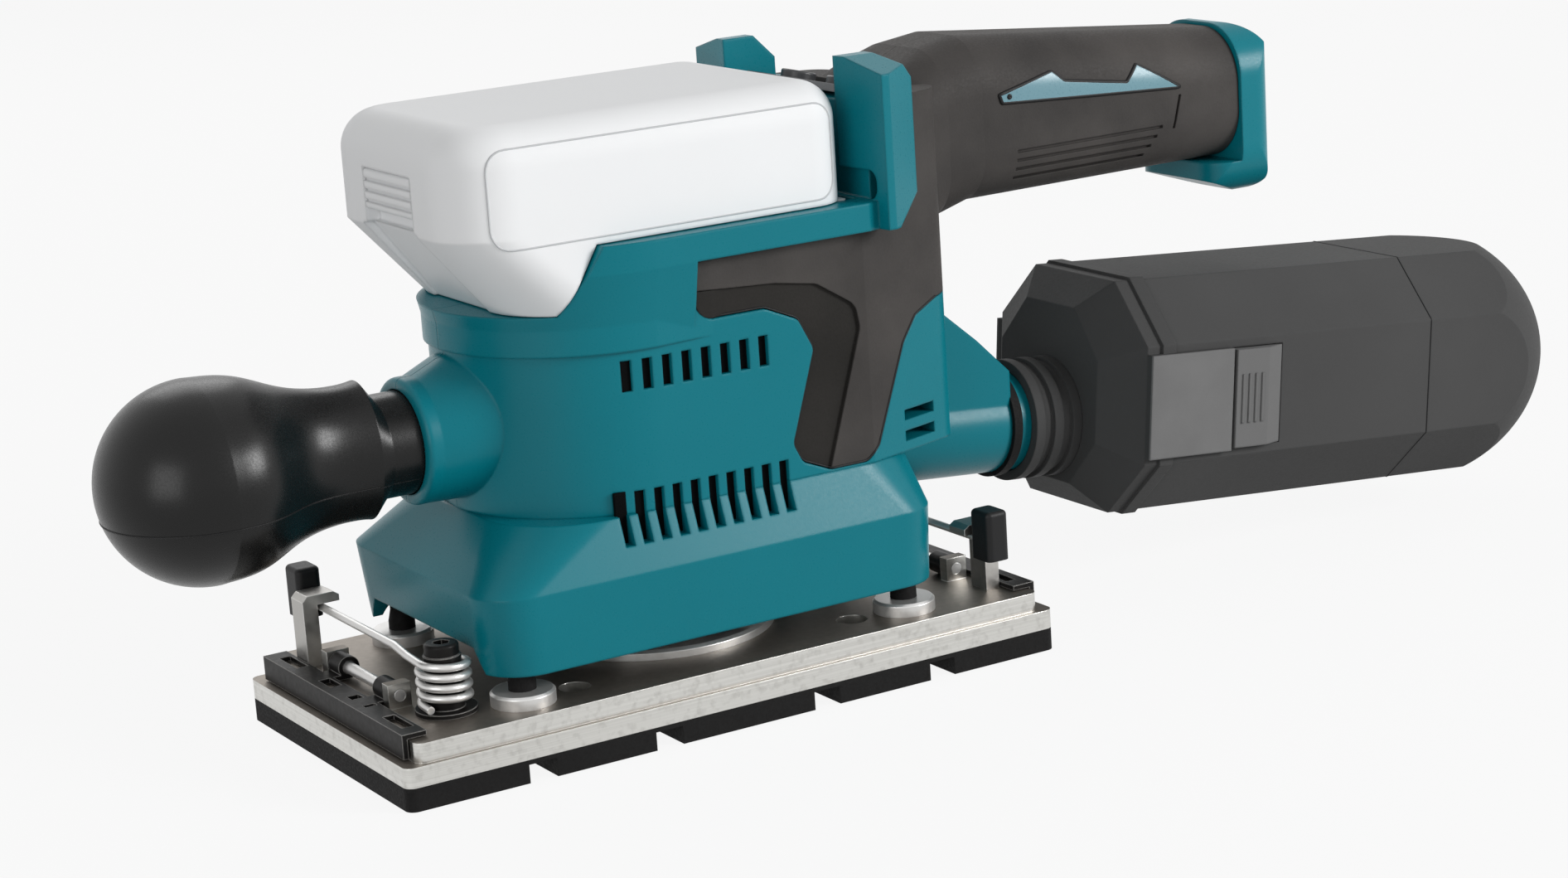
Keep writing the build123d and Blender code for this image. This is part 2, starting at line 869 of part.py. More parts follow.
def guard_ear(side):
    """One of the two upright guards beside the switch panel."""
    plan = shape((ear_front, side * ear_inner), (ear_front + ear_rake, side * ear_outer),
                 (ear_front + 2 * ear_rake, side * ear_outer), (ear_rear, side * ear_rear_half),
                 (ear_rear, side * ear_inner))
    ear = from_plan(plan, rail_top - tray_flange, ear_top)
    low = rail_top - tray_flange
    profile = shape((ear_front, low), (ear_rear - ear_foot_run, low), (ear_rear, rail_top),
                    (ear_rear, ear_top - ear_bevel), (ear_rear - ear_bevel, ear_top), (ear_front, ear_top))
    ear &= from_side(profile, -beyond, beyond)
    slope = shape((side * (ear_inner + 4), ear_top), (side * (ear_outer + 1), ear_top_outer),
                  (side * (ear_outer + 1), ear_top + 1), (side * (ear_inner + 4), ear_top + 1))
    middle = side * (ear_inner + ear_outer - ear_wall) / 2
    width = ear_outer - ear_wall - ear_inner + 2 * ear_notch_round
    notch = RectangleRounded(width, ear_notch_height, ear_notch_round)
    notch = Pos(middle - side * ear_notch_round, rail_top + ear_notch_height / 2) * notch
    ear -= from_front(notch, ear_front, ear_front + ear_notch_depth)
    return ear - from_front(slope, ear_front - 1, ear_rear + 1)


def front_boss():
    """The tube on the nose that the knob is bolted to, with a collar that spreads on to the body."""
    boss = bar_x(boss_radius, boss_face_x, nose_x, 0, knob_axis)
    flare = loft([across(boss_face_x + boss_recess) * Pos(0, knob_axis) * Circle(boss_radius),
                  across(flare_x) * Pos(0, knob_axis + flare_lift) * Circle(flare_radius)], ruled=True)
    flare &= block(-beyond, 0, -beyond, beyond, skirt_top, bay_floor)
    boss = fillet(boss.edges().group_by(Axis.X)[0], boss_edge) + flare
    boss -= bar_x(knob_root_radius + part_gap, boss_face_x, boss_face_x + boss_recess, 0, knob_axis)
    return boss


def belt():
    """The slightly fuller band round the top of the nose, which runs out on the flanks."""
    outer = body_half + belt_proud
    band = from_plan(Pos(nose_x, 0) * Circle(outer), belt_low, bay_floor)
    band &= block(-beyond, nose_x, -beyond, beyond, belt_low, bay_floor)
    end = nose_x + belt_run
    run_out = shape((nose_x, -outer), (end, -body_half), (end, body_half), (nose_x, outer))
    return band + from_plan(run_out, belt_low, bay_floor)


def rear_vents():
    slots = []
    for z in rear_vent_levels:
        slots.append(block(rear_vent_x, rear_vent_x + rear_vent_length, -60, -24, z, z + vent_width))
        slots.append(block(rear_vent_x, rear_vent_x + rear_vent_length, 24, 60, z, z + vent_width))
    return slots


def panel_place(x, y, lift):
    """A point on the sloping switch panel, `lift` above its top face."""
    lean = math.radians(panel_slope)
    top = Plane((bay_rear + 2, 0, panel_front_top), x_dir=(math.cos(lean), 0, -math.sin(lean)),
                z_dir=(math.sin(lean), 0, math.cos(lean)))
    return top * Pos(x, y, lift)


def panel_slab(grow, top, bottom):
    """The switch panel's slab, grown at its edges, between two levels."""
    outline = RectangleRounded(panel_length + 2 * grow, 2 * (panel_half + grow), 2)
    return panel_place(panel_length / 2, 0, bottom) * extrude(outline, top - bottom)


def switch_panel():
    panel = panel_slab(0, 0, -panel_thick)
    for y in (-button_spread, button_spread):
        hole = upright(button_radius + part_gap, 0, 0, 0, panel_thick)
        panel -= panel_place(panel_length / 2, y, -panel_thick) * hole
    return panel


def panel_button(y):
    """A round key that stands in the panel and presses down."""
    button = upright(button_radius, 0, 0, 0, panel_thick + button_height)
    button = fillet(button.edges().group_by(Axis.Z)[-1], button_round)
    return panel_place(panel_length / 2, y, -panel_thick) * button


def panel_well():
    """Room under the panel for the keys to travel."""
    well = panel_slab(seat_gap, ear_top, -panel_thick)
    for y in (-button_spread, button_spread):
        cup = upright(button_radius + part_gap, 0, 0, -button_travel - part_gap, 0)
        well += panel_place(panel_length / 2, y, -panel_thick) * cup
    return well


def housing():
    """The teal shell as one form, before it is parted down the middle."""
    shell = body_form(0) + belt()
    shell += tray_walls()
    shell += front_boss()
    shell -= battery_bay()
    shell += guard_ear(-1)
    shell += guard_ear(1)
    shell -= grip_layer(0)
    shell -= battery_channel()
    shell -= motor_cavity()
    shell -= bar_x(bolt_radius, boss_face_x, boss_face_x + bolt_reach, 0, knob_axis)
    shell -= vent_row(upper_vent_count, upper_vent_start, upper_vent_pitch, upper_vent_low, upper_vent_high)
    shell -= lower_vents()
    shell -= rear_vents()
    shell -= panel_well()
    shell -= nozzle_form(seat_gap)
    return shell - screw_wells()


def grip_layer(inset):
    """The overmould's even layer, with its outline drawn in by `inset`."""
    return (body_form(0) - body_form(grip_thick)) & grip_region(inset)


def grip_cover():
    cover = grip_layer(seam_gap) - panel_well() - grip_facet()
    skin = body_form(0) - body_form(rib_depth)
    for groove in rib_grooves():
        cover -= skin & groove
    return cover - screw_wells()


def handle_inlay():
    """The pale crown-shaped inlays, a little proud of the overmould."""
    return (handle_form(-inlay_proud) - handle_form(0)) & from_side(inlay_outline(), -beyond, beyond)


def end_cap():
    """The rounded heel of the handle, with a foot that hooks below it."""
    rear = handle_end + cap_thick
    top = handle_end_top + cap_proud
    foot_x = handle_end - cap_foot_reach
    under = handle_bottom - part_gap
    sole = cap_foot_bottom
    outline = shape((foot_x, under), (handle_end, under), (handle_end, top), (rear, top), (rear, sole),
                    (rear - cap_round, sole), (foot_x, under - cap_foot_tip))
    outline = fillet(outline.vertices().group_by(Axis.X)[-1].sort_by(Axis.Y)[-1], cap_heel_round)
    outline = fillet(outline.vertices().group_by(Axis.X)[-1].sort_by(Axis.Y)[0], cap_sole_round)
    half = handle_end_half + cap_proud
    cap = from_side(outline, -half, half)
    section = RectangleRounded(2 * half, top - cap_foot_bottom, handle_corner)
    cap &= from_front(Pos(0, (top + cap_foot_bottom) / 2) * section, foot_x, rear)
    heel_plan = RectangleRounded(2 * (rear - foot_x), 2 * half, cap_round)
    foot_plan = RectangleRounded(2 * (rear - foot_x), 2 * half, cap_toe_round)
    cap &= from_plan(Pos(foot_x, 0) * heel_plan, cap_foot_bottom, top)
    return cap & from_plan(Pos(rear, 0) * foot_plan, cap_foot_bottom, top)


# Front knob


def knob():
    """A ball in front, and behind it a neck that is pinched at the sides for the fingers."""
    ball = Pos(knob_ball_x, 0, 0) * Sphere(knob_ball_radius)
    ball &= block(-beyond, knob_ball_x, -beyond, beyond, -beyond, beyond)
    # The circles are turned so that they start at the top, as the upright ellipses do.
    sections = [across(knob_ball_x) * Rot(0, 0, 90) * Circle(knob_ball_radius)]
    for x, half_width, half_height in knob_stations:
        sections.append(across(x) * Ellipse(half_width, half_height))
    neck_end = across(knob_neck_end) * Ellipse(knob_neck_half, knob_neck_radius)
    sections.append(neck_end)
    step = across(knob_root_x) * Rot(0, 0, 90) * Circle(knob_root_radius)
    body = ball + loft(sections) + loft([neck_end, step], ruled=True)
    return body + bar_x(knob_root_radius, knob_root_x, boss_face_x + boss_recess, 0, 0)


def knob_shells():
    """The knob in two mouldings that meet along a level line below its middle."""
    whole = Pos(0, 0, knob_axis) * knob()
    whole -= bar_x(bolt_radius, knob_ball_x, boss_face_x + boss_recess, 0, knob_axis)
    split = knob_axis - knob_split_drop
    upper = whole & block(-beyond, 0, -beyond, beyond, split, beyond)
    lower = whole & block(-beyond, 0, -beyond, beyond, 0, split)
    return upper, lower


def knob_bolt():
    return bar_x(bolt_radius, knob_ball_x, boss_face_x + bolt_reach, 0, knob_axis)


# Battery pack


def pack_plan(front, corner):
    """The pack's front part from above, with its two front corners rounded."""
    rear = bay_lip_x + pack_foot_corner
    outline = shape((front, -pack_half), (rear, -pack_half), (rear, pack_half), (front, pack_half))
    return fillet(outline.vertices().group_by(Axis.X)[0], corner)


def pack_lobe():
    """The lobe that hangs down in front of the housing, drawn in towards its foot."""
    brow = Pos(0, 0, pack_chin) * pack_plan(pack_front, pack_corner)
    foot = Pos(0, 0, bay_floor + part_gap) * pack_plan(pack_front + pack_chin_run, pack_foot_corner)
    lobe = loft([brow, foot], ruled=True)
    foot_x = bay_foot_x - slide_gap
    top = rail_top + part_gap
    behind = shape((foot_x, bay_floor), (foot_x, bay_floor + part_gap), (bay_lip_x - slide_gap, top),
                   (beyond, top), (beyond, bay_floor))
    return lobe - from_side(behind, -beyond, beyond)


def battery_case():
    """The upper shell with its rounded edges, hollow for the cells."""
    block_low = rail_top + part_gap
    case = block(pack_front, pack_rear, -pack_half, pack_half, block_low, pack_top)
    case = fillet(case.edges().filter_by(Axis.Z).group_by(Axis.X)[0], pack_corner)
    case = fillet(case.edges().filter_by(Axis.Z).group_by(Axis.X)[-1], pack_rear_corner)
    case = fillet(case.edges().group_by(Axis.Z)[-1], pack_edge)
    case -= block(-beyond, bay_lip_x - slide_gap, -beyond, beyond, block_low, pack_chin)
    case += pack_lobe()
    pocket_half = cell_length / 2 + part_gap
    middle = (pack_front + pack_rear) / 2
    run = cell_count * (2 * cell_radius + part_gap) / 2 + part_gap
    low = rail_top + part_gap + pack_wall
    top = low + 2 * cell_radius + part_gap
    case -= block(middle - run, middle + run, -pocket_half, pocket_half, low, top)
    return case - release_pocket()


def battery_shoe():
    """The narrower foot below the case, grooved for the rails and open behind for the contacts."""
    half = tray_channel_half - slide_gap
    low = tray_floor + part_gap
    top = rail_top + part_gap
    front = bay_lip_x + 1
    shoe = block(front, pack_rear, -half, half, low, top)
    for side in (-1, 1):
        y0 = side * (tray_channel_half - rail_reach - slide_gap)
        y1 = side * half
        rail = (rail_low - slide_gap, rail_high + slide_gap)
        shoe -= block(front + slide_gap, pack_rear, min(y0, y1), max(y0, y1), *rail)
    room = terminal_half + contact_gap
    start = bay_rear - bay_wall - terminal_length - contact_gap
    shoe -= block(start, pack_rear, -room, room, low, low + terminal_height + contact_gap)
    return shoe


def battery_cells():
    cells = []
    low = rail_top + part_gap + pack_wall
    middle = (pack_front + pack_rear) / 2
    pitch = 2 * cell_radius + part_gap
    for index in range(cell_count):
        x = middle + (index - (cell_count - 1) / 2) * pitch
        cells.append(bar_y(cell_radius, x, -cell_length / 2, cell_length / 2, low + cell_radius))
    return cells


def release_pocket():
    """The recess in the pack's face that the release slides down in, and the finger dip below it."""
    half = release_width / 2 + part_gap
    low = release_top - release_height - release_travel - part_gap
    back = pack_front + release_thick + part_gap
    pocket = block(pack_front, back, -half, half, low, release_top + part_gap)
    foot_x = pack_front + pack_chin_run + finger_dip / 2
    dip_x = pack_front + finger_dip
    dip = shape((pack_front, bay_floor), (foot_x, bay_floor), (dip_x, low), (pack_front, low))
    return pocket + from_side(dip, -finger_dip_half, finger_dip_half)


def release_button():
    half = release_width / 2
    low = release_top - release_height
    button = block(pack_front, pack_front + release_thick, -half, half, low, release_top)
    button = fillet(button.edges().filter_by(Axis.Y).group_by(Axis.X)[0], release_thick / 3)
    for index in range(release_ribs):
        z = low + release_rib_pitch * (index + 1)
        button -= block(pack_front, pack_front + rib_depth, -half, half, z - rib_groove, z)
    return button


def battery_terminal():
    """The contact block on the tray floor, with blades that reach into the pack."""
    rear = bay_rear - bay_wall
    half = terminal_half
    base = block(rear - terminal_base, rear, -half, half, tray_floor, tray_floor + terminal_height)
    low = tray_floor + blade_margin
    top = tray_floor + terminal_height - blade_margin
    for index in range(blade_count):
        y = (index - (blade_count - 1) / 2) * blade_pitch
        base += block(rear - terminal_length, rear, y - blade_thick / 2, y + blade_thick / 2, low, top)
    return base


# Dust nozzle and dust box


def duct_place(x):
    """A point on the nozzle's axis, which leans down to the rear, with Z along the axis."""
    lean = math.radians(duct_tilt)
    z = nozzle_axis - (x - nozzle_mouth_x) * math.tan(lean)
    return Plane((x, 0, z), x_dir=(0, 1, 0), z_dir=(math.cos(lean), 0, -math.sin(lean)))


def duct(radius, x0, x1):
    run = (x1 - x0) / math.cos(math.radians(duct_tilt))
    return extrude(duct_place(x0) * Circle(radius), run)


def nozzle_form(grow):
    """The spout with its upright fin, grown by a gap where it is let into its neighbours."""
    pipe = duct(nozzle_radius + grow, nozzle_root, nozzle_mouth_x)
    half = fin_half + grow
    front = post_rear - post_corner - grow
    outline = shape((front, nozzle_axis), (fin_foot_x + grow, nozzle_axis), (fin_foot_x + grow, fin_foot_top),
                    (fin_knee_x + grow, fin_knee_top + grow), (post_rear + grip_thick, fin_top + grow),
                    (front, fin_top + grow))
    return pipe + from_side(outline, -half, half)


def dust_nozzle():
    nozzle = nozzle_form(0) - duct(nozzle_bore, nozzle_root - 10, nozzle_mouth_x + 1)
    return nozzle - spout_ring()


def spout_ring():
    """A soft ring let into the spout, which the collar comes up to."""
    run = spout_ring_width / math.cos(math.radians(duct_tilt))
    outer = Circle(nozzle_radius + spout_ring_proud)
    return extrude(duct_place(spout_ring_x) * (outer - Circle(nozzle_radius - spout_ring_proud)), run)


def box_place(x):
    """A point on the dust box's own axis, a little above the nozzle's."""
    return duct_place(x) * Pos(0, box_lift, 0)


def octagon(half_width, half_height, side_half, top_half):
    points = []
    for sx, sy in ((1, 1), (-1, 1), (-1, -1), (1, -1)):
        corner = [(sx * half_width, sy * side_half), (sx * top_half, sy * half_height)]
        points += corner if sx * sy > 0 else corner[::-1]
    return shape(*points)


def box_section(inset):
    drawn = inset * math.tan(math.radians(22.5))
    return octagon(box_half_width - inset, box_half_height - inset, box_side_half - drawn,
                   box_top_half - drawn)


def box_shell(start, inset):
    """The octagonal box from `start` along its axis to the domed rear end."""
    length = box_length - inset
    tube = extrude(Pos(0, 0, start) * box_section(inset), length - start)
    reach = dome_length - inset
    dome_start = length - reach
    nose = EllipticalCenterArc((dome_start, 0), reach, dome_radius - inset, start_angle=0, arc_size=90)
    lines = [nose, Line(nose @ 1, (0, dome_radius - inset)), Line((0, dome_radius - inset), (0, 0)),
             Line((0, 0), nose @ 0)]
    bullet = revolve(make_face(lines), axis=Axis.X)
    return tube & (Rot(0, -90, 0) * bullet)


def on_box(solid):
    """Set a piece drawn along Z, from the box's front, on the tool."""
    return box_place(box_front_x) * solid


def dust_cartridge():
    """The box proper: a thin octagonal shell, open in front."""
    shell = box_shell(cover_length + part_gap, 0) - box_shell(0, box_wall)
    for side in (-1, 1):
        shell -= thumb_pocket(side)
    return on_box(shell)


def thumb_start():
    return cover_length + arm_length - 10 + 2 * part_gap


def thumb_pocket(side):
    half = arm_half - thumb_margin + part_gap
    deep = box_half_width - thumb_thick - thumb_travel
    return Pos(side * (box_half_width + deep) / 2, 0, thumb_start() + thumb_length / 2) * Box(
        box_half_width - deep, 2 * half, thumb_length + 2 * part_gap)


def thumb_latch(side):
    """A ribbed pad, level with the cover's arm, that is pressed in to free the cover."""
    half = arm_half - thumb_margin
    inner = box_half_width - thumb_thick
    outer = box_half_width + part_gap + arm_thick
    start = thumb_start()
    end = start + thumb_length
    outline = shape((inner, start), (outer, start), (outer, start + thumb_flat),
                    (box_half_width + seat_gap, end), (inner, end))
    pad = extrude(Plane.XZ * outline, half, both=True)
    for index in range(thumb_ribs):
        z = start + (index + 1) * thumb_rib_pitch
        pad += Pos(outer, 0, z) * Box(rib_depth, half, rib_groove)
    return on_box(pad if side > 0 else mirror(pad, about=Plane.YZ))


def dust_cover():
    """The front cover, bevelled towards the spout, with a snap arm on each side."""
    front = octagon(box_front_half, box_front_half_height, box_side_half * 0.7, box_top_half * 0.6)
    nose = loft([front, Pos(0, 0, box_nose) * box_section(0)], ruled=True)
    cover = nose + extrude(Pos(0, 0, box_nose) * box_section(0), cover_length - box_nose)
    cover += extrude(Pos(0, 0, cover_length - cover_rim_length) * box_section(-cover_rim), cover_rim_length)
    cover -= extrude(Pos(0, 0, box_wall) * octagon(box_front_half - 2, box_front_half_height - 2,
                                                   box_side_half * 0.6, box_top_half * 0.5), cover_length)
    cover -= extrude(Pos(0, 0, box_nose) * box_section(box_wall), cover_length)
    arm_end = thumb_start() - thumb_slot
    for side in (-1, 1):
        inner = box_half_width + part_gap
        x = side * (inner + arm_thick / 2)
        cover += Pos(x, 0, (box_nose + arm_end) / 2) * Box(arm_thick, 2 * arm_half, arm_end - box_nose)
        web = side * (box_half_width + part_gap / 2)
        root = cover_length - box_nose
        cover += Pos(web, 0, (box_nose + cover_length) / 2) * Box(2 * part_gap, 2 * arm_half, root)
    cover -= Pos(0, -box_lift, 0) * Cylinder(nozzle_bore, 30)
    return on_box(cover)


def dust_collar():
    """The ringed rubber sleeve that grips the spout."""
    inner = nozzle_radius + running_gap * 4
    wall = inner + collar_wall
    step = collar_length / (2 * collar_rings + 1)
    points = [(inner, 0), (inner, -collar_length), (wall, -collar_length)]
    for index in range(collar_rings):
        z = -collar_length + (2 * index + 1) * step
        points += [(wall, z), (wall - 1.2, z), (wall - 1.2, z + step), (wall, z + step)]
    points += [(wall, 0)]
    sleeve = revolve(Plane.XZ * shape(*points), axis=Axis.Z)
    return duct_place(box_front_x) * sleeve


def dust_filter():
    """The pleated paper filter in its frame, across the mouth of the box."""
    fit = box_wall + part_gap
    half = box_half_width - fit
    pitch = 2 * half / filter_pleats
    front = []
    for index in range(filter_pleats):
        x = -half + index * pitch
        front += [(x, 0), (x + pitch / 2, filter_depth)]
    front += [(half, 0)]
    back = [(x, z + filter_paper) for x, z in front]
    paper = extrude(Plane.XZ * shape(*(front + back[::-1])), box_half_height, both=True)
    paper &= extrude(box_section(fit + filter_rim / 2), filter_depth + filter_paper)
    frame = extrude(box_section(fit) - box_section(fit + filter_rim), filter_frame)
    return on_box(Pos(0, 0, cover_length + 2 * part_gap) * (paper + frame))


# Paper clamps


def lever_post():
    """The peg on the plate that carries the wire's coil, with a screw on top."""
    low = plate_top
    coil_inside = coil_radius - wire_radius - part_gap
    post = upright(post_base_radius, lever_post_x, lever_post_y, low, low + post_base_thick)
    top = coil_top + wire_radius + part_gap
    post += upright(coil_inside, lever_post_x, lever_post_y, low, top)
    head = upright(post_head_radius, lever_post_x, lever_post_y, top, top + post_head_thick)
    head = fillet(head.edges().group_by(Axis.Z)[-1], 0.8)
    head -= extrude(Pos(lever_post_x, lever_post_y, top + post_head_thick - 1.4) * RegularPolygon(2.2, 6), 2)
    return post + head


def biarc(start, start_way, end, end_way):
    """Two arcs that leave one point and reach another with the given directions."""
    gap = end - start
    ways = start_way + end_way
    bend = 1 - start_way.dot(end_way)
    lean = gap.dot(ways)
    reach = (math.sqrt(lean * lean + 2 * bend * gap.dot(gap)) - lean) / (2 * bend)
    middle = (start + end + (start_way - end_way) * reach) * 0.5
    return [Edge.make_tangent_arc(start, start_way, middle),
            Edge.make_tangent_arc(end, end_way * -1, middle).reversed()]


def coil_point(turns):
    """A point of the wire's coil and its direction, after so many turns from the foot."""
    angle = math.pi - 2 * math.pi * turns
    point = Vector(lever_post_x + coil_radius * math.cos(angle), lever_post_y + coil_radius * math.sin(angle),
                   coil_low + coil_pitch * turns)
    rise = coil_pitch / (2 * math.pi)
    way = Vector(coil_radius * math.sin(angle), -coil_radius * math.cos(angle), rise).normalized()
    return point, way


def lever_route():
    """The wire's line: a short foot, the coil, and the arm that reaches past the catch."""
    first, first_way = coil_point(0)
    last, last_way = coil_point(coil_turns)
    edges = [Edge.make_line(first - first_way * lever_tail, first)]
    quarters = 4 * coil_turns
    for index in range(quarters):
        edges += biarc(*coil_point(index / 4), *coil_point((index + 1) / 4))
    rise = last + last_way * lever_lead
    level = (wire_x, last.Y + 2 * lever_lead, wire_z)
    arm = FilletPolyline(last, rise, level, (wire_x, lever_far_y - cap_cover, wire_z), radius=lever_bend)
    return edges + list(arm.edges())


def least_coil_gap(edges):
    """The smallest clear space between neighbouring turns of the wire, from points along it."""
    points = []
    for edge in edges:
        steps = max(2, int(edge.length / 1.5))
        points += [edge.position_at(index / steps) for index in range(steps)]
    least = 1000.0
    apart = int(math.pi * coil_radius / 1.5)
    for index, point in enumerate(points):
        for other in points[index + apart:]:
            least = min(least, (point - other).length)
    return least - 2 * wire_radius


def lever_wire():
    edges = lever_route()
    path = Wire(edges)
    print("least gap between turns of the clamp wire:", round(least_coil_gap(edges), 2), "mm")
    start, way = coil_point(0)
    section = Plane(start - way * lever_tail, z_dir=way) * Circle(wire_radius)
    return sweep(section, path=path)


def lever_cap():
    """The finger tab pushed on to the end of the wire."""
    low = wire_z - cap_below
    end = lever_far_y + cap_end
    half = cap_width / 2
    cap = block(wire_x - half, wire_x + half, end - cap_length, end, low, low + cap_height)
    cap = fillet(cap.edges().filter_by(Axis.Z), cap_edge)
    cap = fillet(cap.edges().group_by(Axis.Z)[-1], cap_edge * 0.75)
    return cap - bar_y(wire_radius + seat_gap, wire_x, 0, lever_far_y - cap_cover + seat_gap, wire_z)


def clamp_catch():
    """The upright hook that the wire is held under."""
    face = wire_x - wire_radius - catch_standoff
    back = face - catch_thick
    under = wire_z + wire_radius + part_gap
    top = under + catch_top_thick
    tip = wire_x + wire_radius + catch_cover
    profile = shape((back, plate_top), (face, plate_top), (face, under), (tip, under), (tip, top - 1),
                    (tip - 1.6, top), (back + 1.4, top), (back, top - 1.4))
    return from_side(profile, catch_y - catch_width / 2, catch_y + catch_width / 2)


def clamp_plate():
    """The lip that pins the paper on the ledge, on two arms that reach back to the pin."""
    lip_back = -step_end - part_gap
    lip_front = lip_back - clamp_lip_thick
    low = slab_top + clamp_lip_lift
    flange_low = plate_top + part_gap
    top = flange_low + clamp_sheet
    plate = block(lip_front, lip_back, -clamp_lip_half, clamp_lip_half, low, top)
    plate += block(lip_front, lip_back + clamp_flange, -clamp_lip_half, clamp_lip_half, flange_low, top)
    catch_room = catch_width / 2 + part_gap
    catch_back = wire_x - wire_radius - catch_standoff - catch_thick
    plate -= block(catch_back - part_gap, 0, catch_y - catch_room, catch_y + catch_room, flange_low, top)
    for index in range(clamp_windows):
        y = (index - (clamp_windows - 1) / 2) * (2 * clamp_lip_half / clamp_windows)
        plate -= block(lip_back + 1, lip_back + clamp_flange - 1, y - clamp_window_length / 2,
                       y + clamp_window_length / 2, flange_low, top)
    knuckle = pin_radius + running_gap + knuckle_wall
    for y in clamp_arms:
        y0 = y - clamp_arm_width / 2
        y1 = y + clamp_arm_width / 2
        plate += block(lip_front, pin_x, y0, y1, flange_low, top)
        plate += bar_y(knuckle, pin_x, y0, y1, pin_z)
    for y in clamp_arms:
        plate -= bar_y(pin_radius + running_gap, pin_x, y - clamp_arm_width, y + clamp_arm_width, pin_z)
    return plate


def clamp_pin():
    reach = clamp_arm_width / 2 + part_gap + lug_width
    return bar_y(pin_radius, pin_x, clamp_arms[0] - reach, clamp_arms[1] + reach, pin_z)


# Fasteners


def screw_wells():
    """The counterbores in the right half, and the holes that run on into the left half."""
    wells = []
    for x, z, seat in screw_places:
        wells.append(bar_y(screw_head_radius + part_gap, x, seat, beyond, z))
        wells.append(bar_y(screw_radius, x, seat - screw_length, seat, z))
    return wells


def housing_screws():
    """Screws from the right side that hold the two halves together."""
    screws = []
    for x, z, seat in screw_places:
        screw = bar_y(screw_head_radius, x, seat, seat + screw_head_thick, z)
        screw += bar_y(screw_radius, x, seat - screw_length, seat, z)
        face = Plane((x, seat + screw_head_thick, z), z_dir=(0, -1, 0))
        screws.append(screw - extrude(face * RegularPolygon(screw_drive_radius, 6), screw_head_thick / 2))
    return screws


def main():
    os.makedirs("parts", exist_ok=True)
    save("rubber_pad", rubber_pad())
    save("base_plate", base_plate())
    save("bearing_retainer", bearing_retainer())
    save("retainer_screws", *retainer_screws())
    cup_floor = hub_top - pad_bearing_width
    save("pad_bearing", ball_bearing(0, journal_radius, pad_bearing_radius, cup_floor, pad_bearing_width))
    save("pad_legs", *at_legs(pad_leg))
    save("leg_washers", *at_legs(leg_washer))
    save("lever_posts", *both_ends(lever_post()))
    save("clamp_catches", *both_ends(clamp_catch()))
    save("clamp_pins", *both_ends(clamp_pin()))
    clamp_pieces = (("lever_wire", lever_wire()), ("lever_cap", lever_cap()), ("clamp_plate", clamp_plate()))
    for name, piece in clamp_pieces:
        front, rear = both_ends(piece)
        save("front_" + name, front)
        save("rear_" + name, rear)
    save("motor_shaft", motor_shaft())
    save("counterweight", counterweight())
    save("cooling_fan", cooling_fan())
    save("rotor_core", rotor_core())
    save("stator_core", stator_core())
    save("stator_coils", *[stator_coil(index) for index in range(tooth_count)])
    save("motor_bracket", motor_bracket())
    bore = shaft_radius + running_gap
    save("lower_bearing", ball_bearing(motor_x, bore, bearing_radius, lower_bearing_low, bearing_width))
    save("upper_bearing", ball_bearing(motor_x, bore, bearing_radius, upper_bearing_low, bearing_width))
    save("control_board", control_board())
    save("base_skirt", base_skirt())
    save("skirt_seal", skirt_seal())
    shell = housing()
    save("housing_left", left_half(shell))
    save("housing_right", right_half(shell))
    cover = grip_cover()
    save("grip_left", left_half(cover))
    save("grip_right", right_half(cover))
    inlay = handle_inlay()
    save("inlay_left", left_half(inlay))
    save("inlay_right", right_half(inlay))
    save("housing_screws", *housing_screws())
    save("handle_end_cap", end_cap())
    save("switch_panel", switch_panel())
    save("power_button", panel_button(-button_spread))
    save("speed_button", panel_button(button_spread))
    upper, lower = knob_shells()
    save("knob_upper", upper)
    save("knob_lower", lower)
    save("knob_bolt", knob_bolt())
    save("battery_case", battery_case())
    save("battery_shoe", battery_shoe())
    save("battery_cells", *battery_cells())
    save("battery_release", release_button())
    save("battery_terminal", battery_terminal())
    save("dust_nozzle", dust_nozzle())
    save("spout_ring", spout_ring())
    save("dust_cover", dust_cover())
    save("dust_collar", dust_collar())
    save("dust_cartridge", dust_cartridge())
    save("dust_filter", dust_filter())
    save("latch_left", thumb_latch(-1))
    save("latch_right", thumb_latch(1))


main()
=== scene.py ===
# %% [markdown]
# # A cordless finishing sander
# The solid model of the sander comes first, in metres. Its origin is the middle of the pad's underside,
# the knob points along -X, the dust box along +X, and the side that the picture shows faces -Y.
# Nothing in it is moved here: this lesson gives it its finishes and the small pieces that solids leave out.

# %% Load the solid model
import json
import math
import bmesh
import bpy
from mathutils import Matrix, Vector


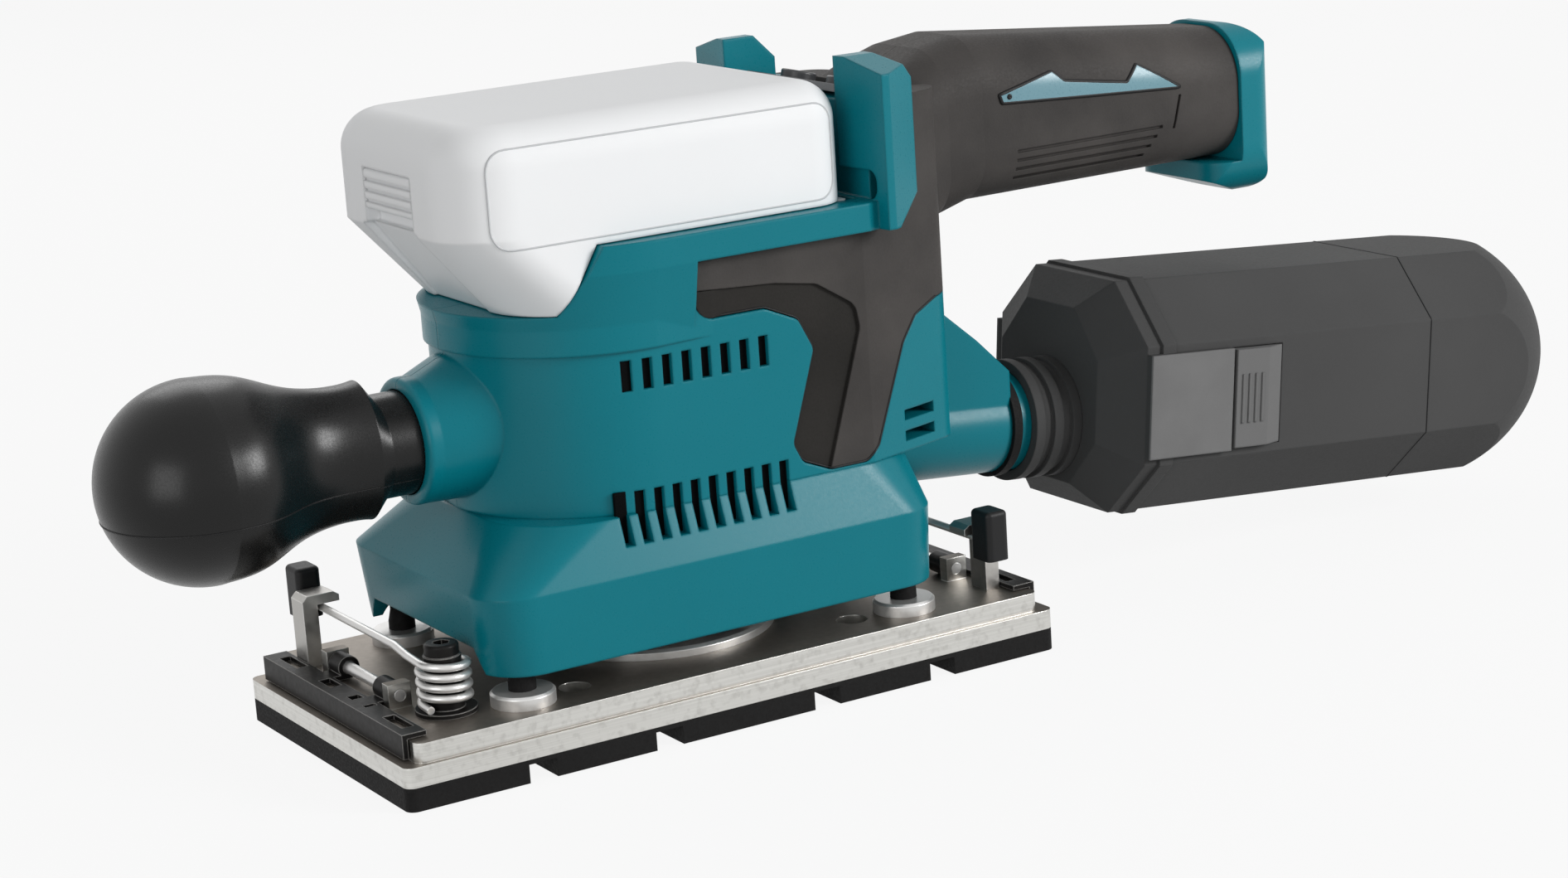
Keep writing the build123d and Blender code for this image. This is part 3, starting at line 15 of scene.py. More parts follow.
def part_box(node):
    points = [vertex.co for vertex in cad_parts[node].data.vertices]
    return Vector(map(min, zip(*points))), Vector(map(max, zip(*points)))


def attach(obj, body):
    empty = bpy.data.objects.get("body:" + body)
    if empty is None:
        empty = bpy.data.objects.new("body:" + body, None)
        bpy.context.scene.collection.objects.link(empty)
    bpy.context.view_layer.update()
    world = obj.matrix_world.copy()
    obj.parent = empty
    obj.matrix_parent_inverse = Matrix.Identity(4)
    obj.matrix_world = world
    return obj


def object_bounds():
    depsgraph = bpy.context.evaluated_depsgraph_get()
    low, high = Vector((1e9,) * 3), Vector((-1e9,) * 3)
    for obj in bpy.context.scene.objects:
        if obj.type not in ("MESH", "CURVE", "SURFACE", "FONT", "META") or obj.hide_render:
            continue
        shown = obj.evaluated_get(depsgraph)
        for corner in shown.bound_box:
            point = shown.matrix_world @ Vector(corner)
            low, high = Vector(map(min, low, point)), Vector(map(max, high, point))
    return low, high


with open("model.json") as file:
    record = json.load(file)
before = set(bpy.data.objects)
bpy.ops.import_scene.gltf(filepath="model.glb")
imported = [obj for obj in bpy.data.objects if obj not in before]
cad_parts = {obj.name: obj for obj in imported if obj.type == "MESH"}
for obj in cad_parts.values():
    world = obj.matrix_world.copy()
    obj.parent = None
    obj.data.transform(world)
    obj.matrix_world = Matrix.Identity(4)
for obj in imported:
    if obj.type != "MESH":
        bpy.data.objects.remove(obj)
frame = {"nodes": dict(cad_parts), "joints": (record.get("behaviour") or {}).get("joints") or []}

solid_low, solid_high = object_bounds()
nodes = frame["nodes"]
print("solid pieces:", len(nodes), "box:", [round(b - a, 4) for a, b in zip(solid_low, solid_high)])

# %% [markdown]
# ## Camera
# The camera stands in front of the tool's left side, a little above it, and is rolled slightly, as a
# hand-turned product shot often is. Its place was worked out from the pad's corners. Building the camera's
# own axes from those three angles is steadier than aiming it at a target, which can't hold a roll.

# %% Camera
camera_turn, camera_rise, camera_roll = (math.radians(a) for a in (-30.614, 13.844, 3.764))
camera_place = Vector((-0.39087, -0.73221, 0.26665))
sensor_width, focal_length, nearest_seen = 36.0, 77.475, 0.01
back = Vector((math.sin(camera_turn) * math.cos(camera_rise),
               -math.cos(camera_turn) * math.cos(camera_rise),
               math.sin(camera_rise)))
level = Vector((math.cos(camera_turn), math.sin(camera_turn), 0))
upward = back.cross(level)
right = math.cos(camera_roll) * level - math.sin(camera_roll) * upward
top = math.sin(camera_roll) * level + math.cos(camera_roll) * upward
camera = bpy.data.objects.new("camera", bpy.data.cameras.new("camera"))
bpy.context.scene.collection.objects.link(camera)
camera.data.sensor_width = sensor_width
camera.data.lens = focal_length
camera.data.clip_start = nearest_seen
camera_axes = Matrix((right, top, back)).transposed()
camera.matrix_world = Matrix.Translation(camera_place) @ camera_axes.to_4x4()
bpy.context.scene.camera = camera
print("camera at", [round(c, 3) for c in camera_place])

# %% [markdown]
# ## Floor and light
# The tool stands on white paper in soft light. The floor is a real, pale surface that catches the shadow,
# and for the camera most of it glows at a strength of 1, so that it reads as white without more light on
# the tool. The world does the same for what the camera and mirror-like metal see of it. More lamps on the
# floor would also make it white, but they would wash out the tool.

# %% Shader helpers
def shader_tree(owner):
    """The empty node tree of a material or a world."""
    owner.use_nodes = True
    owner.node_tree.nodes.clear()
    return owner.node_tree


def add(tree, kind, **settings):
    """A new node with these settings."""
    node = tree.nodes.new(kind)
    for name, value in settings.items():
        setattr(node, name, value)
    return node


def wire(tree, *pairs):
    """Join each pair of sockets: an output, and the input that it feeds."""
    for source, target in pairs:
        tree.links.new(source, target)


def seen_directly(tree):
    """1 for rays from the camera, off gloss or through glass, and 0 for the light that falls on things."""
    path = add(tree, "ShaderNodeLightPath")
    first = add(tree, "ShaderNodeMath", operation="MAXIMUM")
    both = add(tree, "ShaderNodeMath", operation="MAXIMUM")
    wire(tree,
         (path.outputs["Is Camera Ray"], first.inputs[0]),
         (path.outputs["Is Glossy Ray"], first.inputs[1]),
         (first.outputs[0], both.inputs[0]),
         (path.outputs["Is Transmission Ray"], both.inputs[1]))
    return both.outputs[0]


# %% Floor
paper_grey, glow_share = 0.62, 0.90
floor_reach, floor_gap = 30.0, 0.0002
paper_white = bpy.data.materials.new("paper_white")
tree = shader_tree(paper_white)
surface = add(tree, "ShaderNodeBsdfDiffuse")
surface.inputs["Color"].default_value = (paper_grey, paper_grey, paper_grey, 1)
glow = add(tree, "ShaderNodeEmission")
share = add(tree, "ShaderNodeMath", operation="MULTIPLY")
share.inputs[1].default_value = glow_share
blend = add(tree, "ShaderNodeMixShader")
out = add(tree, "ShaderNodeOutputMaterial")
wire(tree,
     (seen_directly(tree), share.inputs[0]),
     (share.outputs[0], blend.inputs[0]),
     (surface.outputs[0], blend.inputs[1]),
     (glow.outputs[0], blend.inputs[2]),
     (blend.outputs[0], out.inputs[0]))
paper = bpy.data.meshes.new("floor")
floor_corners = ((-1, -1), (1, -1), (1, 1), (-1, 1))
paper.from_pydata([(x * floor_reach, y * floor_reach, 0) for x, y in floor_corners], [], [(0, 1, 2, 3)])
floor = bpy.data.objects.new("floor", paper)
floor.location.z = solid_low.z - floor_gap
floor.data.materials.append(paper_white)
bpy.context.scene.collection.objects.link(floor)
print("floor at", round(floor.location.z, 4))


# %% World
def white_sky(tree, strength):
    """An even white sky of this strength."""
    sky = add(tree, "ShaderNodeBackground")
    sky.inputs["Color"].default_value = (1, 1, 1, 1)
    sky.inputs["Strength"].default_value = strength
    return sky.outputs[0]


lit_strength, seen_strength = 0.34, 1.0
world = bpy.data.worlds.new("studio")
bpy.context.scene.world = world
tree = shader_tree(world)
pick = add(tree, "ShaderNodeMixShader")
out = add(tree, "ShaderNodeOutputWorld")
wire(tree,
     (seen_directly(tree), pick.inputs[0]),
     (white_sky(tree, lit_strength), pick.inputs[1]),
     (white_sky(tree, seen_strength), pick.inputs[2]),
     (pick.outputs[0], out.inputs[0]))
print("the world lights at", lit_strength, "and shows at", seen_strength)


# %% Lamps
def softbox(name, spot, aim, size, power):
    """A soft square lamp at `spot` that looks at `aim`."""
    lamp = bpy.data.objects.new(name, bpy.data.lights.new(name, "AREA"))
    lamp.data.size = size
    lamp.data.energy = power
    lamp.location = spot
    lamp.rotation_euler = (Vector(aim) - Vector(spot)).to_track_quat("-Z", "Y").to_euler()
    bpy.context.scene.collection.objects.link(lamp)


middle = (solid_low + solid_high) / 2
softbox("key_lamp", (1.10, -1.22, 0.66), middle, size=0.6, power=20.5)
softbox("fill_lamp", (-1.25, -0.75, 0.42), middle, size=0.8, power=5.5)
softbox("back_lamp", (0.3, 1.3, 1.1), middle, size=0.9, power=4.5)
bpy.context.scene.view_settings.view_transform = "Standard"

# %% [markdown]
# ## How a finish is put together
# Every finish is one Principled shader. What is the same all over is set on the shader's own sockets, and
# nodes only carry what changes: a slow drift in the colour, a fine grain in the gloss, and a bump for the
# texture of the mould. They all read Object coordinates, so the grain has the same size on every piece.

# %% Colours and patterns
noise_span = (0.3, 0.7)


def tone(red, green, blue):
    """A colour picked on a screen, as the linear values that a shader takes."""
    def linear(value):
        part = value / 255
        return part / 12.92 if part <= 0.04045 else ((part + 0.055) / 1.055) ** 2.4
    return (linear(red), linear(green), linear(blue), 1.0)


def grey(value):
    """A grey picked on a screen."""
    return tone(value, value, value)


def position(tree, stretch=(1, 1, 1)):
    """The point on the piece, stretched for patterns that run one way."""
    here = add(tree, "ShaderNodeTexCoord")
    scaled = add(tree, "ShaderNodeMapping")
    scaled.inputs["Scale"].default_value = stretch
    tree.links.new(here.outputs["Object"], scaled.inputs["Vector"])
    return scaled.outputs["Vector"]


def noise(tree, size, detail, stretch=(1, 1, 1)):
    """Even noise whose blotches are about `size` metres across. It mostly stays within noise_span."""
    node = add(tree, "ShaderNodeTexNoise")
    node.inputs["Scale"].default_value = 1.0 / size
    node.inputs["Detail"].default_value = detail
    tree.links.new(position(tree, stretch), node.inputs["Vector"])
    return node.outputs["Fac"]


def between(tree, factor, low, high, span=(0.0, 1.0)):
    """A number that goes from one value to another while `factor` crosses the span."""
    node = add(tree, "ShaderNodeMapRange")
    for socket, value in zip(("From Min", "From Max", "To Min", "To Max"), (*span, low, high)):
        node.inputs[socket].default_value = value
    tree.links.new(factor, node.inputs["Value"])
    return node.outputs["Result"]


def colours(tree, factor, first, second):
    """A colour that follows `factor` from one to another. Either may be a colour or a node's output."""
    node = add(tree, "ShaderNodeMix", data_type="RGBA")
    for socket, value in (("A", first), ("B", second)):
        target = [s for s in node.inputs if s.name == socket and s.type == "RGBA"][0]
        if isinstance(value, tuple):
            target.default_value = value
        else:
            tree.links.new(value, target)
    tree.links.new(factor, node.inputs["Factor"])
    return [s for s in node.outputs if s.type == "RGBA"][0]


print("noise mostly stays within", noise_span)


# %% Edges and grain
def soft_edges(tree, radius):
    """Edges that catch the light as if they were rounded by `radius`."""
    node = add(tree, "ShaderNodeBevel", samples=4)
    node.inputs["Radius"].default_value = radius
    return node.outputs["Normal"]


def texture(tree, shader, height, depth, radius):
    """A bump of `depth` metres from a height between 0 and 1, on edges softened by `radius`."""
    bump = add(tree, "ShaderNodeBump")
    bump.inputs["Strength"].default_value = 1.0
    bump.inputs["Distance"].default_value = depth
    wire(tree,
         (height, bump.inputs["Height"]),
         (soft_edges(tree, radius), bump.inputs["Normal"]),
         (bump.outputs["Normal"], shader.inputs["Normal"]))


def new_finish(name, roughness, **sockets):
    """A material with one Principled shader, and constants for its sockets."""
    finish = bpy.data.materials.new(name)
    tree = shader_tree(finish)
    shader = add(tree, "ShaderNodeBsdfPrincipled")
    out = add(tree, "ShaderNodeOutputMaterial")
    tree.links.new(shader.outputs[0], out.inputs[0])
    shader.inputs["Roughness"].default_value = roughness
    for socket, value in sockets.items():
        shader.inputs[socket.replace("_", " ")].default_value = value
    return finish, tree, shader


def dress(finish, *names):
    """Give a finish to these solid pieces."""
    for name in names:
        for slot in nodes[name].material_slots:
            slot.material = finish
    print(finish.name, "on", ", ".join(names))


# %% [markdown]
# ## Teal shell
# The housing, skirt, spout and end cap are one satin teal plastic. A roughness of about 0.3 gives the wide,
# soft highlight on the shoulder and the boss, and a very shallow grain keeps it from looking like glass.
# The recipe for moulded plastic is a function, because most of the other pieces are moulded too.

# %% Teal shell
drift_size, roughness_swing = 0.05, 0.05


def moulded(name, colour, drift, roughness, grain=0.0005, depth=0.00001, shine=0.5, radius=0.0004):
    """Moulded plastic: a slow drift between two tones and the fine grain of a spark-eroded mould."""
    finish, tree, shader = new_finish(name, roughness, Specular_IOR_Level=shine)
    slow = noise(tree, size=drift_size, detail=3.0)
    fine = noise(tree, size=grain, detail=2.0)
    wire(tree,
         (colours(tree, slow, colour, drift), shader.inputs["Base Color"]),
         (between(tree, fine, roughness - roughness_swing, roughness + roughness_swing, noise_span),
          shader.inputs["Roughness"]))
    texture(tree, shader, fine, depth, radius)
    return finish


teal = moulded("teal_shell", tone(0, 112, 125), tone(4, 120, 133), roughness=0.31, shine=0.2, radius=0.0009)
dress(teal, "housing_left", "housing_right", "base_skirt", "handle_end_cap", "dust_nozzle")

# %% [markdown]
# ## Overmould
# The grip is a matt, warm grey rubber. Inside the hook on each side a facet is set back by about a
# millimetre, and it is coloured a darker grey. Two materials would need the faces to be sorted. The facet
# can be told from the rest by how far out it lies, so a step on the width does the job in one material, and
# a second step along the tool keeps it off the narrow handle behind the hook.

# %% Overmould
facet_step, hook_rear_step = (0.0374, 0.0378), (0.0445, 0.0450)
grip_rubber = (tone(55, 53, 52), tone(75, 72, 70))
darker_facet_tones = (tone(29, 28, 26), tone(42, 40, 38))


def unsigned(tree, value):
    """A number without its sign."""
    node = add(tree, "ShaderNodeMath", operation="ABSOLUTE")
    tree.links.new(value, node.inputs[0])
    return node.outputs[0]


def along_and_out(tree):
    """How far along the tool a point lies, and how far out from its middle."""
    split = add(tree, "ShaderNodeSeparateXYZ")
    tree.links.new(position(tree), split.inputs[0])
    return split.outputs["X"], unsigned(tree, split.outputs["Y"])


grip, tree, shader = new_finish("grey_overmould", roughness=0.62, Specular_IOR_Level=0.12)
along, outward = along_and_out(tree)
facet = add(tree, "ShaderNodeMath", operation="SUBTRACT", use_clamp=True)
fine = noise(tree, size=0.0006, detail=3.0)
slow = between(tree, noise(tree, size=0.03, detail=4.0), 0.0, 1.0, noise_span)
plain_tone, facet_tone = colours(tree, slow, *grip_rubber), colours(tree, slow, *darker_facet_tones)
wire(tree,
     (between(tree, along, 1.0, 0.0, hook_rear_step), facet.inputs[0]),
     (between(tree, outward, 0.0, 1.0, facet_step), facet.inputs[1]),
     (colours(tree, facet.outputs[0], plain_tone, facet_tone), shader.inputs["Base Color"]),
     (between(tree, fine, 0.52, 0.70, noise_span), shader.inputs["Roughness"]))
texture(tree, shader, fine, depth=0.00003, radius=0.0005)
dress(grip, "grip_left", "grip_right")

# %% [markdown]
# ## Other plastics
# The inlay is a paler teal, the knob a glossy black, the battery a pale, smooth moulding, and the lever caps
# and switches are small black and grey fittings. They share the shell's recipe and differ in tone, gloss and
# grain, so a call with other numbers is enough, where new nodes for each would only repeat the recipe.

# %% Inlays, knob and battery
inlay = moulded("pale_inlay", tone(96, 138, 150), tone(106, 147, 159), roughness=0.30)
dress(inlay, "inlay_left", "inlay_right")
knob = moulded("black_knob", grey(14), grey(20), roughness=0.29, shine=0.27)
dress(knob, "knob_upper", "knob_lower")
pack = moulded("pale_battery", tone(238, 239, 240), tone(242, 243, 244), roughness=0.58,
               depth=0.000005, shine=0.15, radius=0.0012)
dress(pack, "battery_case", "battery_release", "battery_shoe")

# %% Small black and grey fittings
fitting = moulded("black_fitting", tone(14, 14, 15), tone(22, 22, 23), roughness=0.48,
                  grain=0.0004, depth=0.00002, shine=0.25)
dress(fitting, "front_lever_cap", "rear_lever_cap", "battery_terminal", "cooling_fan")
panel = moulded("switch_panel_grey", tone(104, 106, 108), tone(116, 118, 120), roughness=0.42)
dress(panel, "switch_panel")
key = moulded("switch_key", tone(48, 49, 51), tone(58, 59, 61), roughness=0.36)
dress(key, "power_button", "speed_button")

# %% [markdown]
# ## Dust box and its cover
# The box is matt black. The cover that it slides into is the same plastic, but its two arms carry painted
# light: they are coloured a paler grey, and so are the thumb latches. The arms are all of the
# cover that reaches its full width, so a step on the width tells them apart, as it did on the grip.

# %% Dust box and its cover
matt_black = dict(grain=0.0008, depth=0.00002, shine=0.1, radius=0.0007)
box = moulded("dust_box_black", grey(66), grey(80), roughness=0.68, **matt_black)
dress(box, "dust_cartridge")
# The latches are a paler grey than the box: painted light on their lit faces.
thumb = moulded("thumb_latch_painted_lit", grey(104), grey(114), roughness=0.62, **matt_black)
dress(thumb, "latch_left", "latch_right")
cover = moulded("dust_cover_black", grey(64), grey(74), roughness=0.64, **matt_black)
tree = cover.node_tree
cover_colour = tree.nodes["Principled BSDF"].inputs["Base Color"]
arm_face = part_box("dust_cover")[1].y
# The paler grey on the arms is painted light, laid where the cover reaches its full width.
light_band_start, light_band_full = 0.0008, 0.0004
arm_step = (arm_face - light_band_start, arm_face - light_band_full)
painted_light = between(tree, along_and_out(tree)[1], 0.0, 1.0, arm_step)
arm_painted_light_tone = colours(tree, noise(tree, size=0.012, detail=4.0), grey(104), grey(120))
unlit_cover_tone = cover_colour.links[0].from_socket
tree.links.new(colours(tree, painted_light, unlit_cover_tone, arm_painted_light_tone), cover_colour)
dress(cover, "dust_cover", "dust_collar")

# %% [markdown]
# ## Plate
# The plate's edge is milled bright, with fine lines along it and the cloudy patches of the casting, and its
# top is left as cast and looks dark. The direction that the surface faces tells the two apart.

# %% Cast and milled plate
top_facing, patch_span, patch_share = (0.4, 0.6), (0.5, 0.75), 0.45
milled_roughness, cast_roughness = 0.28, 0.5
metal_edge = 0.0003
alloy, tree, shader = new_finish("cast_plate", roughness=0.4, Metallic=1.0)
facing = add(tree, "ShaderNodeNewGeometry")
split = add(tree, "ShaderNodeSeparateXYZ")
tree.links.new(facing.outputs["True Normal"], split.inputs[0])
cast_top = between(tree, unsigned(tree, split.outputs["Z"]), 0.0, 1.0, top_facing)
milling = noise(tree, size=0.004, detail=3.0, stretch=(0.05, 0.05, 12.0))
cast = noise(tree, size=0.002, detail=4.0)
patches = between(tree, cast, 0.0, patch_share, patch_span)
milled = colours(tree, milling, tone(186, 185, 180), tone(222, 221, 217))
edge_tone = colours(tree, patches, milled, tone(158, 156, 151))
top_tone = colours(tree, cast, tone(118, 112, 105), tone(142, 135, 127))
wire(tree,
     (colours(tree, cast_top, edge_tone, top_tone), shader.inputs["Base Color"]),
     (between(tree, cast_top, milled_roughness, cast_roughness), shader.inputs["Roughness"]))
texture(tree, shader, milling, depth=0.000006, radius=metal_edge)
dress(alloy, "base_plate", "motor_bracket")

# %% [markdown]
# ## Steel
# Turned and stamped steel has a faint mottle, and its edges are painted another tone, partly rubbed wear and
# partly a painted highlight, which is what makes a small part look like metal. A rounded edge would lean
# away from the flat, so the angle between the softened and the true surface finds the edges without any
# marking by hand. The clamps are blackened.

# %% Recipe for steel
no_lean, full_lean = 0.995, 0.90
mottle_size, wear_and_highlight_width = 0.0015, 0.0004


def worn_and_highlit_edges(tree, radius):
    """1 along the edges, where a rounded edge would lean away from the flat, and 0 elsewhere."""
    flat = add(tree, "ShaderNodeNewGeometry")
    lean = add(tree, "ShaderNodeVectorMath", operation="DOT_PRODUCT")
    wire(tree, (soft_edges(tree, radius), lean.inputs[0]), (flat.outputs["Normal"], lean.inputs[1]))
    return between(tree, lean.outputs["Value"], 0.0, 1.0, (no_lean, full_lean))


def steel(name, dark, light, edge, roughness, depth, metal=1.0, shine=0.5):
    """Steel with a faint, fine mottle in its tone and gloss, and edges painted another tone, as wear and as
    a painted highlight.
    """
    finish, tree, shader = new_finish(name, roughness, Metallic=metal, Specular_IOR_Level=shine)
    mottle = noise(tree, size=mottle_size, detail=3.0)
    tint = colours(tree, mottle, dark, light)
    wire(tree,
         (colours(tree, worn_and_highlit_edges(tree, wear_and_highlight_width), tint, edge), shader.inputs["Base Color"]),
         (between(tree, mottle, roughness - roughness_swing, roughness + roughness_swing, noise_span),
          shader.inputs["Roughness"]))
    texture(tree, shader, mottle, depth, radius=metal_edge)
    return finish


print("edges are rubbed over", wear_and_highlight_width, "m")

# %% Bright, grey and blackened steel
bright = steel("bright_steel", tone(206, 205, 203), tone(222, 221, 219), edge=tone(236, 236, 235),
               roughness=0.34, depth=0.000002, metal=0.7)
dress(bright, "bearing_retainer", "retainer_screws", "leg_washers", "clamp_pins", "motor_shaft", "knob_bolt",
      "front_lever_wire", "rear_lever_wire", "pad_bearing", "lower_bearing", "upper_bearing")
grey_steel = steel("grey_steel", tone(162, 160, 157), tone(182, 180, 176), edge=tone(216, 215, 212),
                   roughness=0.40, depth=0.00001)
dress(grey_steel, "clamp_catches", "counterweight", "housing_screws", "rotor_core", "stator_core")
# Its pale edge tone is a painted highlight as well as wear on the black finish.
black_steel = steel("blackened_steel", tone(20, 19, 19), tone(32, 31, 30), edge=tone(160, 158, 155),
                    roughness=0.38, depth=0.000004, metal=0.1, shine=0.1)
dress(black_steel, "front_clamp_plate", "rear_clamp_plate", "battery_cells", "lever_posts")

# %% [markdown]
# ## Rubber, copper, board and paper
# The pad's rubber is matt and slightly speckled, the windings show their turns as fine lines round each
# coil, the board has a woven green ground under lacquer, and the filter is fibrous paper. Most of this is
# hidden until the tool is taken apart, so each finish is one short pattern.

# %% Rubber and paper
rubber, tree, shader = new_finish("black_rubber", roughness=0.75, Specular_IOR_Level=0.18)
speck = noise(tree, size=0.0007, detail=4.0)
wire(tree,
     (colours(tree, speck, tone(10, 10, 10), tone(24, 23, 23)), shader.inputs["Base Color"]),
     (between(tree, speck, 0.65, 0.85, noise_span), shader.inputs["Roughness"]))
texture(tree, shader, speck, depth=0.00006, radius=0.0003)
dress(rubber, "rubber_pad", "pad_legs", "skirt_seal", "spout_ring")

fibre, tree, shader = new_finish("filter_paper", roughness=0.9, Specular_IOR_Level=0.2)
fibres = noise(tree, size=0.003, detail=5.0, stretch=(1, 4, 1))
tree.links.new(colours(tree, fibres, tone(214, 206, 186), tone(240, 234, 218)), shader.inputs["Base Color"])
texture(tree, shader, fibres, depth=0.0001, radius=0.0002)
dress(fibre, "dust_filter")

# %% Copper and board
winding_scale, weave_scale = 500.0, 900.0
copper, tree, shader = new_finish("wound_copper", roughness=0.3, Metallic=1.0)
windings = add(tree, "ShaderNodeTexWave", bands_direction="Z")
windings.inputs["Scale"].default_value = winding_scale
wire(tree,
     (position(tree), windings.inputs["Vector"]),
     (colours(tree, windings.outputs["Fac"], tone(120, 66, 36), tone(214, 138, 88)),
      shader.inputs["Base Color"]))
texture(tree, shader, windings.outputs["Fac"], depth=0.0003, radius=metal_edge)
dress(copper, "stator_coils")

board, tree, shader = new_finish("lacquered_board", roughness=0.25, Coat_Weight=0.4)
weave = add(tree, "ShaderNodeTexChecker")
weave.inputs["Scale"].default_value = weave_scale
weave.inputs["Color1"].default_value = tone(18, 92, 56)
weave.inputs["Color2"].default_value = tone(24, 104, 64)
wire(tree,
     (position(tree), weave.inputs["Vector"]),
     (weave.outputs["Color"], shader.inputs["Base Color"]))
dress(board, "control_board")

# %% [markdown]
# ## Painted shade behind the vents
# Behind each slot of the vents lies a small black plate, painted shade for the dark inside of the vent. The
# plates are the same small plate many times
# over, so they are one node tree: points on a line, a plate on each point, then real geometry and a finish.
# Its sizes are named inputs, so one tree serves both rows on both sides, where copies made by hand would
# have to be changed one by one. The result becomes a plain mesh before it is set on its body.

# %% Tree helpers
def new_tree(name, **inputs):
    """A tree that takes a path, a finish that is black unless another is given, and inputs of its own, each
    given as the kind of socket and its usual value."""
    tree = bpy.data.node_groups.new(name, "GeometryNodeTree")
    tree.interface.new_socket("Geometry", in_out="OUTPUT", socket_type="NodeSocketGeometry")
    tree.interface.new_socket("Path", in_out="INPUT", socket_type="NodeSocketGeometry")
    inputs["Finish"] = ("Material", fitting)
    for label, (kind, value) in inputs.items():
        socket = tree.interface.new_socket(label, in_out="INPUT", socket_type="NodeSocket" + kind)
        socket.default_value = value
    return tree, tree.nodes.new("NodeGroupInput"), tree.nodes.new("NodeGroupOutput")


def end_tree(tree, given, out, geometry):
    """Real geometry and a finish at the end of a tree."""
    real = add(tree, "GeometryNodeRealizeInstances")
    paint = add(tree, "GeometryNodeSetMaterial")
    wire(tree,
         (given.outputs["Finish"], paint.inputs["Material"]),
         (geometry, real.inputs[0]),
         (real.outputs[0], paint.inputs["Geometry"]),
         (paint.outputs[0], out.inputs["Geometry"]))
    print(tree.name, "nodes:", len(tree.nodes))


def grow(name, tree, body, slot, path=None, **values):
    """Run a tree with these values, from a path if it needs one, and set the plain mesh on a body."""
    piece = bpy.data.objects.new(name, path or bpy.data.meshes.new(name))
    bpy.context.scene.collection.objects.link(piece)
    run = piece.modifiers.new("tree", "NODES")
    run.node_group = tree
    for socket in tree.interface.items_tree:
        if socket.in_out == "INPUT" and socket.name in values:
            run[socket.identifier] = values[socket.name]
    ready = piece.evaluated_get(bpy.context.evaluated_depsgraph_get())
    mesh = bpy.data.meshes.new_from_object(ready)
    piece.modifiers.remove(run)
    piece.data = mesh
    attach(piece, body)
    print(name, "faces:", len(mesh.polygons))


# %% Tree of the shade plates
shade_plate_tree, given, out = new_tree("vent_shade_plates", Count=("Int", 8), First=("Vector", (0.0, 0.0, 0.0)),
                                   Step=("Vector", (0.005, 0.0, 0.0)),
                                   Size=("Vector", (0.003, 0.001, 0.008)))
row = add(shade_plate_tree, "GeometryNodeMeshLine", mode="OFFSET")
plate = add(shade_plate_tree, "GeometryNodeMeshCube")
spread = add(shade_plate_tree, "GeometryNodeInstanceOnPoints")
wire(shade_plate_tree,
     (given.outputs["Count"], row.inputs["Count"]),
     (given.outputs["First"], row.inputs["Start Location"]),
     (given.outputs["Step"], row.inputs["Offset"]),
     (given.outputs["Size"], plate.inputs["Size"]),
     (row.outputs[0], spread.inputs["Points"]),
     (plate.outputs["Mesh"], spread.inputs["Instance"]))
end_tree(shade_plate_tree, given, out, spread.outputs[0])

# %% Painted shade behind the vents
sides = ((-1, "left"), (1, "right"))
vent_width, shade_plate_margin = 0.0027, 0.0004
shade_plate_out, shade_plate_depth = 0.0362, 0.0008
vent_rows = (dict(name="upper", count=8, first=-0.022, pitch=0.0054, middle=0.0908, height=0.0080),
             dict(name="lower", count=10, first=-0.026, pitch=0.00505, middle=0.05625, height=0.0129))
# The plates are near black: painted shade for the dark inside of each vent slot.
vent_shade = moulded("vent_painted_shade", tone(4, 5, 6), tone(10, 11, 12), roughness=0.8,
                grain=0.0004, depth=0.00005, shine=0.05)
for side, name in sides:
    for vents in vent_rows:
        grow(vents["name"] + "_screens_" + name, shade_plate_tree, "housing", "black", Count=vents["count"],
             First=(vents["first"], side * shade_plate_out, vents["middle"]), Step=(vents["pitch"], 0.0, 0.0),
             Size=(vent_width + shade_plate_margin, shade_plate_depth, vents["height"]), Finish=vent_shade)

# %% [markdown]
# ## Lines that follow a surface
# Several thin lines lie on curved pieces. Drawing them in the solid model would cost many small faces, and a
# painted line would have no edge to catch the light. Here a path is drawn in the air beside the piece, and
# each of its points knows the way inwards. The tree rounds the path's corners, casts a ray inwards from
# every point, lays the point where the ray lands, and runs a fine bead along the points.

# %% Tree of the beads
corner_steps, bead_sides = 6, 8
bead_tree, given, out = new_tree("surface_bead", Carrier=("Object", None), Radius=("Float", 0.0003),
                                 Step=("Float", 0.0006), Corner=("Float", 0.0))
curve = add(bead_tree, "GeometryNodeMeshToCurve")
bend = add(bead_tree, "GeometryNodeFilletCurve", mode="POLY")
bend.inputs["Count"].default_value = corner_steps
bend.inputs["Limit Radius"].default_value = True
even = add(bead_tree, "GeometryNodeResampleCurve", mode="LENGTH")
carrier = add(bead_tree, "GeometryNodeObjectInfo")
inward = add(bead_tree, "GeometryNodeInputNamedAttribute", data_type="FLOAT_VECTOR")
inward.inputs["Name"].default_value = "inward"
ray = add(bead_tree, "GeometryNodeRaycast")
laid = add(bead_tree, "GeometryNodeSetPosition")
bead = add(bead_tree, "GeometryNodeCurvePrimitiveCircle")
bead.inputs["Resolution"].default_value = bead_sides
tube = add(bead_tree, "GeometryNodeCurveToMesh")
tube.inputs["Fill Caps"].default_value = True
